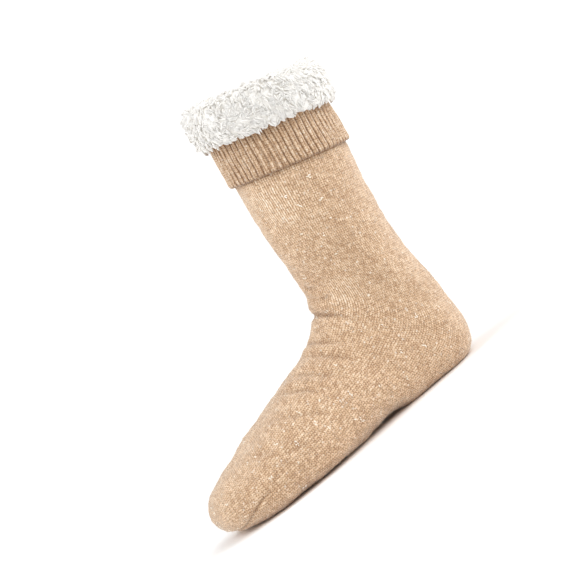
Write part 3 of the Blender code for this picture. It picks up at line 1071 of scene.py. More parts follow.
@dataclass
class KnitSock:
    """The knitted sock: toe, foot, heel and leg in one hollow piece with its creases.

    Attributes:
        last: The form that it lies on.
        rings: Rings of points from toe to rim.
        around: Points in a ring.
        inner_first: The first of those rings that the inside has.
        inner_step: The inside has each one in this many.
        wale_band: The number of wales changes by this many at a time as the sock widens.
        gore_low: Where the line on which the foot's rows meet the leg's starts at the heel, as (s, z).
        gore_rise: The direction of that line.
        leg_count: The leg's rows are counted from this number, so that they don't repeat the foot's.
        crease_shade: How much painted shade darkens the colour in a deep crease.
        shade_from: The depth at which a crease begins to darken.
        shade_over: How much deeper it is at its darkest.
        hem_shadow: How dark the painted shadow of the cuff's hem is on the knit beside it.
        hem_reach: How far below the hem that goes.
        plain_wales: How plainly the wales show everywhere.
        wale_spots: Where they show best: (s, z), the spot's size along and up, and how plainly.
        ripples: The uneven relief of worn knit.
        skin: The plain surface, without creases.
    """

    last: Last
    rings: int = 300
    around: int = 256
    inner_first: int = 4
    inner_step: int = 9
    wale_band: int = 20
    gore_low: tuple[float, float] = (8.0, 12.0)
    gore_rise: tuple[float, float] = (86.0, 84.0)
    leg_count: float = 400.0
    crease_shade: float = 0.65
    shade_from: float = 0.2
    shade_over: float = 1.4
    hem_shadow: float = 1.0
    hem_reach: float = 2.4
    plain_wales: float = 0.1
    wale_spots: tuple[tuple[float, ...], ...] = (
        (72.0, 184.0, 16.0, 22.0, 1.0),
        (72.0, 98.0, 12.0, 13.0, 0.9),
    )
    ripples: tuple[Ripple, ...] = (Ripple(34.0, 0.34, 3), Ripple(13.0, 0.16, 4), Ripple(5.5, 0.085, 5))
    skin: Skin = field(init=False)

    def __post_init__(self) -> None:
        """Lays out the plain skin."""
        self.skin = self.last.skin(self.rings, self.around)

    def folded(self) -> tuple[Skin, Array]:
        """Lays the creases in the skin.

        Returns:
            The new skin, and the painted shade at each of its points: 1 where none is painted, less in a
            crease and just below the cuff's hem.
        """
        height = np.zeros(self.skin.points.shape[:2])
        for fold in (*ANKLE_FOLDS, *FOOT_FOLDS, *LEG_FOLDS, *TOE_FOLDS):
            height += fold.relief(self.skin)
        # Painted shade in the creases, and the cuff hem's painted shadow on the knit just below it
        shade = 1.0 - self.crease_shade * smooth_step((-height - self.shade_from) / self.shade_over)
        below_hem = self.last.under_hem(self.skin.points)
        shade *= 1.0 - self.hem_shadow * bump_of(np.maximum(below_hem, 0.0), 0.0, self.hem_reach)
        for ripple in self.ripples:
            height += ripple.relief(self.skin.points)
        points = self.skin.points + self.skin.normals * height[..., None]
        points[..., 2] = np.maximum(points[..., 2], 0.0)
        return Skin(points, self.skin.normals, self.skin.pole), shade

    def stitches(self) -> Array:
        """Counts the stitches.

        The foot's courses are counted from the toe and the leg's from the rim. They meet on the gore, the
        slanting line from the front of the ankle down to the heel.

        Returns:
            The count of wales and courses at the four corners of each outer quad.
        """
        points = self.skin.points
        steps = np.linalg.norm(np.diff(points, axis=0), axis=2)
        start = np.linalg.norm(points[:1] - self.skin.pole, axis=2)
        from_toe = np.cumsum(np.vstack([start, steps]), axis=0) / COURSE_PITCH
        from_rim = (from_toe[-1:] - from_toe) + self.leg_count
        girths = np.linalg.norm(np.roll(points, -1, axis=1) - points, axis=2).sum(axis=1)
        wales = np.maximum(np.round(girths / (self.wale_band * WALE_PITCH)), 1) * self.wale_band
        column = np.arange(self.around)
        middle = (points[:-1] + points[1:]) / 2
        low_s, low_z = self.gore_low
        run, rise = self.gore_rise
        on_leg = (middle[..., 2] - low_z) * run > (middle[..., 0] - low_s) * rise
        corners = np.empty((self.rings - 1, self.around, 4, 2))
        for corner, (ring, turn) in enumerate(((0, 0), (1, 0), (1, 1), (0, 1))):
            rows = slice(ring, self.rings - 1 + ring)
            across = (column + turn)[None, :] / self.around * wales[:-1, None]
            toe_count = np.roll(from_toe[rows], -turn, axis=1)
            rim_count = np.roll(from_rim[rows], -turn, axis=1)
            corners[:, :, corner, 0] = across
            corners[:, :, corner, 1] = np.where(on_leg, rim_count, toe_count)
        return corners.reshape(-1, 4, 2)

    def wale_marks(self) -> Array:
        """How plainly the wales show: best on the upper leg's front and just above the ankle.

        Returns:
            A value from 0 to 1 for each point.
        """
        s, z = self.skin.points[..., 0], self.skin.points[..., 2]
        marks = np.full(s.shape, self.plain_wales)
        for at_s, at_z, along, up, plainly in self.wale_spots:
            marks += plainly * np.exp(-(((s - at_s) / along) ** 2) - ((z - at_z) / up) ** 2)
        return np.clip(marks, 0.0, 1.0)

    def build(self, finish: bpy.types.Material) -> Skin:
        """Makes and dresses the sock.

        Args:
            finish: The knit's material.

        Returns:
            The folded outer skin, for the pieces that lie on it.
        """
        outer, shade = self.folded()
        inner = self.skin.inset(KNIT_WALL, KNIT_WALL)
        inner = inner.every(self.inner_step, self.inner_first, self.rings - 1)
        points, quads, caps = shell_of(outer, inner)
        plain = [np.zeros((len(group), 4, 2)) for group in quads[1:]]
        groups = [
            Corners(np.vstack(quads), np.vstack([self.stitches(), *plain])),
            Corners(caps, np.zeros((len(caps), 3, 2))),
        ]
        spare = len(points) - shade.size
        shade = np.concatenate([shade.ravel(), np.ones(spare)])
        wale = np.concatenate([self.wale_marks().ravel(), np.zeros(spare)])
        piece = shaped_piece("knit_sock_dressed", self.last.placed(points), groups, shade=shade, wale=wale)
        dress(piece, finish, "knit_sock")
        return outer


@dataclass
class Slubs:
    """Small thick places and flecks of pale yarn that stand out of the knit.

    Attributes:
        last: The form that the knit lies on.
        places: Where the larger ones lie on the outer side, as (s, y, z).
        scattered: How many more are strewn over the whole sock.
        below_hem: How far below the cuff's hem the highest of those lies at least.
        above_floor: How high above the floor the lowest lies at least.
        nubs: A slub has from the first of these to one less than the second.
        length: The mean length of one nub.
        width: Its mean width.
        height: Its mean height.
        sizes: The smallest and the largest nub, beside the mean.
        drift: How far nubs lie from the slub's middle, along its row and across.
        slant: How far they turn from the row.
        lift: How far a nub's middle lies above the knit's surface.
        seed: The seed of the random draws.
    """

    last: Last
    places: tuple[tuple[float, float, float], ...] = (
        (43.1, 41.8, 185.5), (61.6, 36.0, 172.2), (47.3, 39.3, 149.0), (71.1, 29.8, 153.2),
        (59.9, 35.8, 126.4), (65.2, 33.8, 183.1), (45.8, 40.5, 165.9), (60.2, 34.7, 84.6),
        (41.1, 36.9, 51.4), (48.8, 37.0, 30.2), (67.2, 37.9, 38.5), (121.2, 43.7, 37.1),
        (141.7, 40.4, 49.1), (113.1, 33.2, 59.3), (76.6, 38.5, 18.7), (131.2, 46.4, 21.2),
        (109.4, 37.6, 10.5), (97.4, 41.3, 28.0), (81.0, 32.4, 68.9), (197.7, -2.0, 54.1),
        (160.8, 38.5, 50.5), (158.9, 46.9, 38.0), (151.0, 48.6, 29.2), (205.1, 27.4, 44.7),
        (241.6, 16.8, 28.4), (208.6, 43.1, 27.1), (187.8, 48.3, 22.8), (177.7, 46.7, 35.1),
    )
    scattered: int = 45
    below_hem: float = 3.0
    above_floor: float = 2.0
    nubs: tuple[int, int] = (2, 5)
    length: float = 1.7
    width: float = 0.85
    height: float = 0.8
    sizes: tuple[float, float] = (0.6, 1.3)
    drift: tuple[float, float] = (1.3, 0.9)
    slant: float = 0.45
    lift: float = 0.16
    seed: int = 71

    def ball(self, rings: int = 4, around: int = 8) -> tuple[Array, Array]:
        """A ball of radius 1 in few faces.

        Args:
            rings: Rings of points between its poles.
            around: Points in a ring.

        Returns:
            Its points and its triangles.
        """
        turn = np.arange(around) * TURN / around
        rise = (np.arange(rings)[:, None] + 1) * math.pi / (rings + 1)
        ring = [np.sin(rise) * np.cos(turn), np.sin(rise) * np.sin(turn), np.cos(rise) + 0.0 * turn]
        points = np.vstack([np.stack(ring, axis=-1).reshape(-1, 3), [(0.0, 0.0, 1.0), (0.0, 0.0, -1.0)]])
        last = (rings - 1) * around
        top, bottom = rings * around, rings * around + 1
        faces = []
        for step in range(around):
            after = (step + 1) % around
            faces.append((top, step, after))
            faces.append((last + after, last + step, bottom))
            for low in range(0, last, around):
                faces.append((low + step, low + around + step, low + after))
                faces.append((low + after, low + around + step, low + around + after))
        return points, np.array(faces)

    def build(self, skin: Skin, finish: bpy.types.Material) -> None:
        """Makes and dresses the slubs.

        Args:
            skin: The folded skin that they lie on.
            finish: The pale yarn's material.
        """
        chance = np.random.default_rng(self.seed)
        points, normals = skin.points.reshape(-1, 3), skin.normals.reshape(-1, 3)
        around = unit(np.roll(skin.points, -1, axis=1) - skin.points).reshape(-1, 3)
        bare = (self.last.under_hem(points) > self.below_hem) & (points[:, 2] > self.above_floor)
        charted = [np.linalg.norm(points - place, axis=1).argmin() for place in np.array(self.places)]
        ball, faces = self.ball()
        made, shells = [], []
        for spot in (*charted, *chance.choice(np.flatnonzero(bare), self.scattered)):
            for _ in range(chance.integers(*self.nubs)):
                out, along = normals[spot], around[spot]
                turn = chance.normal(0.0, self.slant)
                beside = np.cross(out, along)
                long_way = along * math.cos(turn) + beside * math.sin(turn)
                wide_way = np.cross(out, long_way)
                size = chance.uniform(*self.sizes)
                shift = along * chance.normal(0.0, self.drift[0])
                shift = shift + beside * chance.normal(0.0, self.drift[1])
                centre = points[spot] + shift + out * self.lift
                axes = [long_way * self.length, wide_way * self.width, out * self.height]
                shells.append(faces + len(ball) * len(made))
                made.append(centre + ball @ (np.stack(axes) * size / 2))
        piece = shaped_piece("pale_slubs", self.last.placed(np.vstack(made)), [Corners(np.vstack(shells))])
        dress(piece, finish)


@dataclass
class Fuzz:
    """The short loose hairs that stand off the knit and soften its edges.

    Attributes:
        name: The piece's name.
        hairs: How many there are.
        slot: The name of the material of the knit that they grow on; not used.
        seed: The seed of their random draws.
        length: Their mean length.
        lengths: The shortest and the longest, beside the mean.
        radius: Their radius at the root.
        sunk: How far below the surface they start.
        lean: Their mean lean from upright.
        lean_spread: How much that varies.
        lean_limits: The least lean and the most.
        floor: The lowest place that a tip may reach.
    """

    name: str
    hairs: int
    slot: str
    seed: int
    length: float = 1.9
    lengths: tuple[float, float] = (0.6, 1.4)
    radius: float = 0.1
    sunk: float = 0.15
    lean: float = 0.9
    lean_spread: float = 0.3
    lean_limits: tuple[float, float] = (0.1, 1.35)
    floor: float = 0.3

    def build(self, last: Last, points: Array, normals: Array, finish: bpy.types.Material) -> None:
        """Makes and dresses the hairs, each a slim three-sided spike.

        Args:
            last: The form that the knit lies on.
            points: A grid of points on the knit that closes on itself round each row.
            normals: The outward directions there.
            finish: The hairs' material.
        """
        chance = np.random.default_rng(self.seed)
        around = np.roll(points, -1, axis=1) - points
        along = np.gradient(points, axis=0)
        area = np.linalg.norm(np.cross(around, along), axis=2).ravel()
        spots = chance.choice(len(area), self.hairs, p=area / area.sum())
        shift = chance.uniform(-0.5, 0.5, (self.hairs, 2, 1))
        across, up = (way.reshape(-1, 3)[spots] for way in (around, along))
        out = normals.reshape(-1, 3)[spots]
        root = points.reshape(-1, 3)[spots] + across * shift[:, 0] + up * shift[:, 1] - out * self.sunk
        bearing = chance.uniform(0.0, TURN, (self.hairs, 1))
        flat = unit(across) * np.cos(bearing) + np.cross(out, unit(across)) * np.sin(bearing)
        lean = np.clip(chance.normal(self.lean, self.lean_spread, (self.hairs, 1)), *self.lean_limits)
        reach = out * np.cos(lean) + flat * np.sin(lean)
        tip = root + reach * chance.uniform(*self.lengths, (self.hairs, 1)) * self.length
        tip[:, 2] = np.maximum(tip[:, 2], self.floor)
        side = unit(np.cross(reach, out + 0.3 * flat))
        back = np.cross(reach, side)
        turns = np.arange(3) * TURN / 3
        corners = [root + self.radius * (side * math.cos(turn) + back * math.sin(turn)) for turn in turns]
        spikes = np.stack([*corners, tip], axis=1).reshape(-1, 3)
        first = np.arange(self.hairs)[:, None, None] * 4
        faces = (first + np.array([(2, 1, 0), (0, 1, 3), (1, 2, 3), (2, 0, 3)])).reshape(-1, 3)
        piece = shaped_piece(self.name, last.placed(spikes), [Corners(faces)])
        dress(piece, finish)


@dataclass
class RibCuff:
    """The ribbed band turned down round the leg, with a rounded free hem.

    Attributes:
        last: The form that it lies on.
        ribs: How many ribs go round.
        steps_per_rib: Points across a rib.
        rows: Points down the face.
        top: The height of its top above the hem, under the fleece.
        tucked_from: The height at which it begins to draw in towards its top.
        tucked_over: How much higher it has drawn in.
        groove_power: How round a rib is; less is flatter, with narrower grooves.
        centre_dip: How deep the line along a rib's middle is.
        rib_height: How high a rib stands, as a share of RIB_RISE.
        groove_depth: How far a groove lies below the plain face, as the same share.
        groove_shade: How much painted shade darkens a groove.
        hem_shade: How much painted shade darkens the underside of the turned-in hem.
        shaded: How much painted shade darkens the whole cuff.
        under_fleece: How dark the fleece's painted shadow is on the cuff's top.
        fleece_from: The height at which that starts.
        fleece_over: How much higher it is whole.
        wobble: How far the ribs wander sideways, in ribs.
        unlike: How much one rib's height differs from another's.
        slack: The uneven relief of its loose face.
        wale: How plainly its wales show.
    """

    last: Last
    ribs: int = 60
    steps_per_rib: int = 12
    rows: int = 46
    top: float = 57.0
    tucked_from: float = 36.0
    tucked_over: float = 21.0
    groove_power: float = 0.8
    centre_dip: float = 0.16
    rib_height: float = 1.5
    groove_depth: float = 0.3
    groove_shade: float = 0.8
    hem_shade: float = 0.7
    shaded: float = 0.2
    under_fleece: float = 0.55
    fleece_from: float = 24.0
    fleece_over: float = 9.0
    wobble: Ripple = Ripple(26.0, 0.1, 21)
    unlike: Ripple = Ripple(17.0, 0.09, 22)
    slack: tuple[Ripple, ...] = (Ripple(30.0, 0.22, 23), Ripple(8.0, 0.07, 24))
    wale: float = 0.6

    def outline(self) -> Array:
        """The band's section.

        Returns:
            Points of (offset, height, share of the rib): down the face, round the hem and up the back.
        """
        groove = GAP + CUFF_WALL
        face = np.linspace(self.top, 3.2, self.rows)
        ease = smooth_step((face - self.tucked_from) / self.tucked_over)
        front = np.stack([groove - 0.2 * ease, face, 1.0 - 0.3 * ease], axis=-1)
        front[:, 0] += 0.35 * smooth_step((9.0 - face) / 7.0)
        hem = np.array(
            [
                [groove + 0.40, 2.2, 1.0], [groove + 0.36, 1.2, 0.95], [groove + 0.2, 0.3, 0.85],
                [groove - 0.15, -0.5, 0.65], [groove - 0.7, -1.0, 0.4], [groove - 1.4, -1.15, 0.2],
                [GAP + 0.5, -1.0, 0.0], [GAP, -0.2, 0.0],
            ]
        )
        back = np.array([[GAP, 8.0, 0.0], [GAP, 30.0, 0.0], [GAP, self.top, 0.0]])
        return np.vstack([front, hem, back])

    def build(self, finish: bpy.types.Material) -> tuple[Array, Array]:
        """Makes and dresses the cuff.

        Args:
            finish: The ribbed knit's material.

        Returns:
            The points of its face and the outward directions there, row by row.
        """
        outline = self.outline()
        steps = self.ribs * self.steps_per_rib
        count = np.arange(steps) / self.steps_per_rib
        angle = count[:, None] * TURN / self.ribs
        offset, height, share = (column[None, :] for column in outline.T)
        plain = self.last.shaft(angle, offset, height)
        phase = count[:, None] + self.wobble.relief(plain)
        rib = np.abs(np.sin(math.pi * phase)) ** self.groove_power
        dip = self.centre_dip * bump_of(phase % 1.0, 0.5, 0.1)
        rise = (self.rib_height * rib - self.groove_depth - dip) * (1.0 + self.unlike.relief(plain))
        slack = sum(ripple.relief(plain) for ripple in self.slack)
        face = smooth_step((share - 0.05) / 0.3)
        stands_out = offset + RIB_RISE * rise * share + slack * face
        points = self.last.shaft(angle, stands_out, height + 0.25 * slack * face)
        quads = grid_quads(steps, len(outline), closed=True)
        wales = np.concatenate([2 * count, [2.0 * self.ribs]])
        run = run_along(outline[:, :2])
        courses = np.concatenate([run, [run[-1]]]) / COURSE_PITCH
        step, point = np.divmod(np.arange(len(quads)), len(outline))
        turned = ((0, 0), (1, 0), (1, 1), (0, 1))
        corners = [np.stack([wales[step + a], courses[point + b]], axis=-1) for a, b in turned]
        groups = [Corners(quads, np.stack(corners, axis=1))]
        shade = self.shades(height, rib, face)
        wale = np.full(shade.shape, self.wale)
        placed = self.last.placed(points.reshape(-1, 3))
        piece = shaped_piece("rib_cuff_dressed", placed, groups, shade=shade, wale=wale)
        dress(piece, finish, "rib_cuff")
        shown = np.swapaxes(points[:, FIRST_SHOWN : self.rows + 3], 0, 1)[::-1]
        return shown, grid_normals(shown)

    def shades(self, height: Array, rib: Array, face: Array) -> Array:
        """The painted shade at each point of the cuff.

        Args:
            height: The height above the hem.
            rib: 1 on a rib's middle and 0 in a groove.
            face: 1 on the outer face and 0 at the back.

        Returns:
            Less where shade is painted into the colour: a little over the whole cuff, and more in the
            grooves, under the hem and under the fleece.
        """
        # Painted shade in the grooves and under the hem, the fleece's painted shadow on the cuff's top, and
        # a little painted shade over the whole cuff
        groove = self.groove_shade * (1.0 - rib) ** 1.3
        shade = 1.0 - face * groove - self.hem_shade * face * bump_of(height, -1.0, 1.1)
        covered = self.under_fleece * smooth_step((height - self.fleece_from) / self.fleece_over)
        return np.clip(shade - self.shaded, 0.0, 1.0) * (1.0 - covered)


class CollarPoint(NamedTuple):
    """A point of the fleece roll's outline: outside the knit, above the rim, and its share of fur."""

    offset: float
    height: float
    fur: float


class Hang(Enum):
    """Which way the pile lies along the roll's outline, which runs up the outside and down the inside."""

    DOWN_OUTSIDE = -1.0
    DOWN_INSIDE = 1.0


@dataclass(frozen=True)
class PileZone:
    """One band of the roll and the pile that grows on it.

    Attributes:
        name: The piece's name.
        start: Where the band begins, as a share of the furry outline.
        end: Where it ends.
        curls: How many curls grow in each lock.
        length: Their mean length.
        lean: Their mean lean from upright.
        hang: Which way they lie.
        seed: The seed of its random draws.
    """

    name: str
    start: float
    end: float
    curls: int
    length: float
    lean: float
    hang: Hang
    seed: int


# Parts of the roll's outline: what is smoothed, where pile grows and, once it is smoothed, where lumps are
SMOOTHED, FURRY, LUMPY = slice(2, 26), slice(3, 25), slice(3, 44)


@dataclass
class FleeceRoll:
    """The lining's top edge, turned out over the rim as a thick roll of pile.

    Attributes:
        last: The form that it lies on.
        rise: How high the roll stands above the rim.
        drop: How far it hangs down outside.
        inside_drop: How far it goes down inside.
        pile: How thick it is outside the cuff.
        around: Points round its base.
        base_under: How far under the pile's face the base lies.
        root_under: How far under it the curls' roots lie.
        lock_pitch: The distance from one lock to the next in a row.
        row_pitch: The distance between rows, as a share of that.
        uneven: How far a lock may be out of place along its row and across, as a share of each.
        spread: The radius of a lock's roots, as a share of the pitch.
        swirl: The wavelength and the size of the turns that locks take together.
        own_swirl: How far each one turns by itself.
        lean_spread: How much the lean varies from lock to lock.
        lean_limits: The least lean and the most.
        lengths: The shortest and the longest lock, beside the mean.
        curl_lengths: The shortest and the longest curl, beside its lock.
        curl_radius: A curl's radius.
        gather: How far the curls of a lock draw together at the tip.
        gather_spread: How much that varies.
        stray: How far a curl's tip and middle stray.
        tones: How much the lightness varies from lock to lock and from curl to curl.
        base_tone: The base's tone, as at the curls' roots, so that it is as pale as they are: painted light.
        lumps: The uneven relief of the base.
        zones: The bands of pile.
    """

    last: Last
    rise: float = 9.0
    drop: float = 24.0
    inside_drop: float = 22.0
    pile: float = 6.2
    around: int = 240
    base_under: float = 0.2
    root_under: float = 1.5
    lock_pitch: float = 4.2
    row_pitch: float = 0.86
    uneven: tuple[float, float] = (0.34, 0.36)
    spread: float = 0.56
    swirl: tuple[float, float] = (46.0, 0.75)
    own_swirl: float = 0.45
    lean_spread: float = 0.18
    lean_limits: tuple[float, float] = (0.1, 1.25)
    lengths: tuple[float, float] = (0.8, 1.2)
    curl_lengths: tuple[float, float] = (0.78, 1.12)
    curl_radius: float = 0.8
    gather: float = 0.5
    gather_spread: float = 0.15
    stray: float = 0.35
    tones: tuple[float, float] = (0.045, 0.03)
    base_tone: float = 0.6
    lumps: tuple[Ripple, ...] = (Ripple(5.0, 0.4, 40), Ripple(10.0, 0.4, 41), Ripple(26.0, 0.4, 42))
    zones: tuple[PileZone, ...] = (
        PileZone("fleece_pile_edge", 0.0, 0.24, 7, 5.2, 1.05, Hang.DOWN_OUTSIDE, 31),
        PileZone("fleece_pile_face", 0.20, 0.47, 7, 5.2, 1.05, Hang.DOWN_OUTSIDE, 32),
        PileZone("fleece_pile_crest", 0.43, 0.72, 7, 4.8, 0.9, Hang.DOWN_INSIDE, 33),
        PileZone("fleece_pile_mouth", 0.69, 1.0, 5, 4.8, 1.0, Hang.DOWN_INSIDE, 34),
    )

    def outline(self) -> list[CollarPoint]:
        """The roll's section.

        Returns:
            Its points: down beside the cuff, up the furry face, over the rim and down inside.
        """
        cuff_face = GAP + CUFF_WALL + RIB_RISE + GAP
        inner_face = -KNIT_WALL - GAP - 0.15
        outer = cuff_face + self.pile
        inner = inner_face - self.pile
        low, deep = -self.drop, -self.inside_drop
        return [
            CollarPoint(cuff_face, GAP + 0.3, 0.0),
            CollarPoint(cuff_face, low * 0.5, 0.0),
            CollarPoint(cuff_face, low + 1.6, 0.0),
            CollarPoint(cuff_face + 1.8, low - 0.4, 0.8),
            CollarPoint(cuff_face + 4.0, low + 0.2, 1.0),
            CollarPoint(outer - 0.9, low + 2.6, 1.0),
            CollarPoint(outer - 0.1, low + 6.0, 1.0),
            CollarPoint(outer + 0.3, low + 9.5, 1.0),
            CollarPoint(outer + 0.5, low + 13.0, 1.0),
            CollarPoint(outer + 0.5, low + 16.5, 1.0),
            CollarPoint(outer + 0.3, low + 20.0, 1.0),
            CollarPoint(outer - 0.2, low + 23.5, 1.0),
            CollarPoint(outer - 1.2, 2.8, 1.0),
            CollarPoint(outer - 3.0, 5.8, 1.0),
            CollarPoint(outer - 5.6, 8.2, 1.0),
            CollarPoint(outer - 8.8, self.rise - 0.4, 1.0),
            CollarPoint((outer + inner) / 2 - 0.6, self.rise, 1.0),
            CollarPoint(inner + 5.0, 8.6, 1.0),
            CollarPoint(inner + 2.2, 6.0, 1.0),
            CollarPoint(inner + 0.6, 2.6, 1.0),
            CollarPoint(inner, -1.4, 1.0),
            CollarPoint(inner + 0.1, -6.0, 0.8),
            CollarPoint(inner + 0.6, -12.0, 0.5),
            CollarPoint(inner + 1.6, deep + 3.0, 0.2),
            CollarPoint(inner_face - 2.4, deep, 0.0),
            CollarPoint(inner_face, deep + 1.0, 0.0),
            CollarPoint(inner_face, deep * 0.5, 0.0),
            CollarPoint(inner_face, GAP + 0.3, 0.0),
        ]

    def underfur(self, depth: float) -> Array:
        """The outline under the pile's face.

        Args:
            depth: How far under it.

        Returns:
            The offset and the height above the cuff's hem of each point.
        """
        points = np.array(self.outline())
        before, after = np.roll(points, 1, axis=0), np.roll(points, -1, axis=0)
        aim = unit(np.stack([after[:, 1] - before[:, 1], before[:, 0] - after[:, 0]], axis=-1))
        moved = points[:, :2] - aim * depth * points[:, 2:]
        return moved + np.array([0.0, self.last.cuff_height])

    def build_base(self, finish: bpy.types.Material) -> None:
        """Makes the lumpy roll that the pile grows from.

        Args:
            finish: The fleece's material.
        """
        sparse = self.underfur(self.base_under)
        smoothed = curve_through(sparse[SMOOTHED], 2)
        outline = np.vstack([smoothed, sparse[SMOOTHED.stop :], sparse[: SMOOTHED.start]])
        angle = np.arange(self.around)[:, None] * TURN / self.around
        offset, height = outline[None, :, 0], outline[None, :, 1]
        plain = self.last.shaft(angle, offset, height)
        middle = np.full_like(offset, offset.mean())
        core = self.last.shaft(angle, middle, np.full_like(height, self.last.cuff_height))
        fur = np.zeros(len(outline))
        fur[LUMPY] = 1.0
        lumps = sum(ripple.relief(plain) for ripple in self.lumps)
        points = plain + unit(plain - core) * (lumps * fur)[..., None]
        groups = [Corners(grid_quads(self.around, len(outline), closed=True))]
        tone = np.full(points.shape[:2], self.base_tone)
        piece = shaped_piece("fleece_roll", self.last.placed(points.reshape(-1, 3)), groups, tone=tone)
        dress(piece, finish, "fleece_collar")

    def girth(self) -> float:
        """The length of the pile's face round the rim."""
        return math.pi * (self.last.rim_depth + self.last.rim_width) / 2 + TURN * self.pile

    def lock_places(self, zone: PileZone, reach: float, chance: np.random.Generator) -> tuple[Array, Array]:
        """Where a band's locks grow, in uneven rows that are half a lock out of step.

        Args:
            zone: The band.
            reach: The length of the furry outline.
            chance: The source of the random draws.

        Returns:
            Each lock's angle round the shaft, and its distance along the outline.
        """
        start, end = zone.start * reach, zone.end * reach
        columns = round(self.girth() / self.lock_pitch)
        lines = max(round((end - start) / (self.lock_pitch * self.row_pitch)), 1)
        column, level = np.meshgrid(np.arange(columns), np.arange(lines), indexing="ij")
        beside, below = self.uneven
        turn = (column + 0.5 * (level % 2) + chance.uniform(-beside, beside, column.shape)) * TURN / columns
        down = start + (level + 0.5 + chance.uniform(-below, below, column.shape)) * (end - start) / lines
        return turn.ravel(), down.ravel()

    def build_pile(self, zone: PileZone, finish: bpy.types.Material) -> None:
        """Grows one band of pile in locks that draw together at their tips.

        Args:
            zone: The band.
            finish: The fleece's material.
        """
        chance = np.random.default_rng(zone.seed)
        line = curve_through(self.underfur(self.root_under)[FURRY], 4)
        run = run_along(line)
        turn, down = self.lock_places(zone, run[-1], chance)
        locks = len(turn)
        swirl = Ripple(*self.swirl, zone.seed + 10).relief(self.on_roll(line, run, turn, down)[0])
        swirl = swirl + chance.normal(0.0, self.own_swirl, locks)
        lean = np.clip(zone.lean + chance.normal(0.0, self.lean_spread, locks), *self.lean_limits)
        length = zone.length * chance.uniform(*self.lengths, locks)
        lock = np.repeat(np.arange(locks), zone.curls)
        curls = len(lock)
        radius = self.spread * self.lock_pitch * np.sqrt(chance.uniform(0.0, 1.3, curls))
        bearing = chance.uniform(0.0, TURN, curls)
        root_turn = turn[lock] + radius * np.cos(bearing) * TURN / self.girth()
        root_down = np.clip(down[lock] + radius * np.sin(bearing), 0.0, run[-1])
        root, out, _, _ = self.on_roll(line, run, root_turn, root_down)
        heart, heart_out, along, across = self.on_roll(line, run, turn, np.clip(down, 0.0, run[-1]))
        flow = unit(along * (zone.hang.value * np.cos(swirl))[:, None] + across * np.sin(swirl)[:, None])
        reach = heart_out * np.cos(lean)[:, None] + flow * np.sin(lean)[:, None]
        lock_tip = heart + reach * length[:, None]
        own = chance.uniform(*self.curl_lengths, curls)[:, None] * length[lock][:, None]
        gather = self.gather + chance.normal(0.0, self.gather_spread, curls)
        gather = np.clip(gather, 0.0, 0.95)[:, None]
        tip = (root + reach[lock] * own) * (1.0 - gather) + lock_tip[lock] * gather
        tip = tip + chance.normal(0.0, self.stray, (curls, 3))
        middle = root + out * own * 0.5 + (tip - root) * 0.18 + chance.normal(0.0, self.stray, (curls, 3))
        tone = chance.normal(0.0, self.tones[0], locks)[lock] + chance.normal(0.0, self.tones[1], curls)
        points, faces, tones = curl_mesh(root, middle, tip, self.curl_radius, tone)
        piece = shaped_piece(zone.name, self.last.placed(points), [Corners(faces)], tone=tones)
        dress(piece, finish)

    def on_roll(self, line: Array, run: Array, turn: Array, down: Array) -> tuple[Array, ...]:
        """Places on the roll under its pile.

        Args:
            line: The furry outline.
            run: The distance along it at each of its points.
            turn: The angle of each place round the shaft.
            down: Its distance along the outline.

        Returns:
            The points, and the unit directions out, along the outline and round the shaft.
        """

        def at(angle: Array, distance: Array) -> Array:
            """The point at this angle and distance."""
            offset = np.interp(distance, run, line[:, 0])
            height = np.interp(distance, run, line[:, 1])
            return self.last.shaft(angle, offset, height)

        here = at(turn, down)
        along = unit(at(turn, np.minimum(down + 1.2, run[-1])) - at(turn, np.maximum(down - 1.2, 0.0)))
        across = unit(at(turn + 0.02, down) - at(turn - 0.02, down))
        return here, unit(np.cross(across, along)), along, across

    def build(self, finish: bpy.types.Material) -> None:
        """Makes and dresses the roll and its pile.

        Args:
            finish: The fleece's material.
        """
        self.build_base(finish)
        for zone in self.zones:
            self.build_pile(zone, finish)


# The sides of a curl, and each of its rings: how far along, its share of the radius and its tone, least at
# the root, where the fleece's paler colour is painted light
CURL_SIDES = 5
CURL_RINGS = ((0.0, 0.9, 0.6), (0.4, 1.0, 0.8), (0.75, 0.82, 0.93), (0.93, 0.5, 0.98))


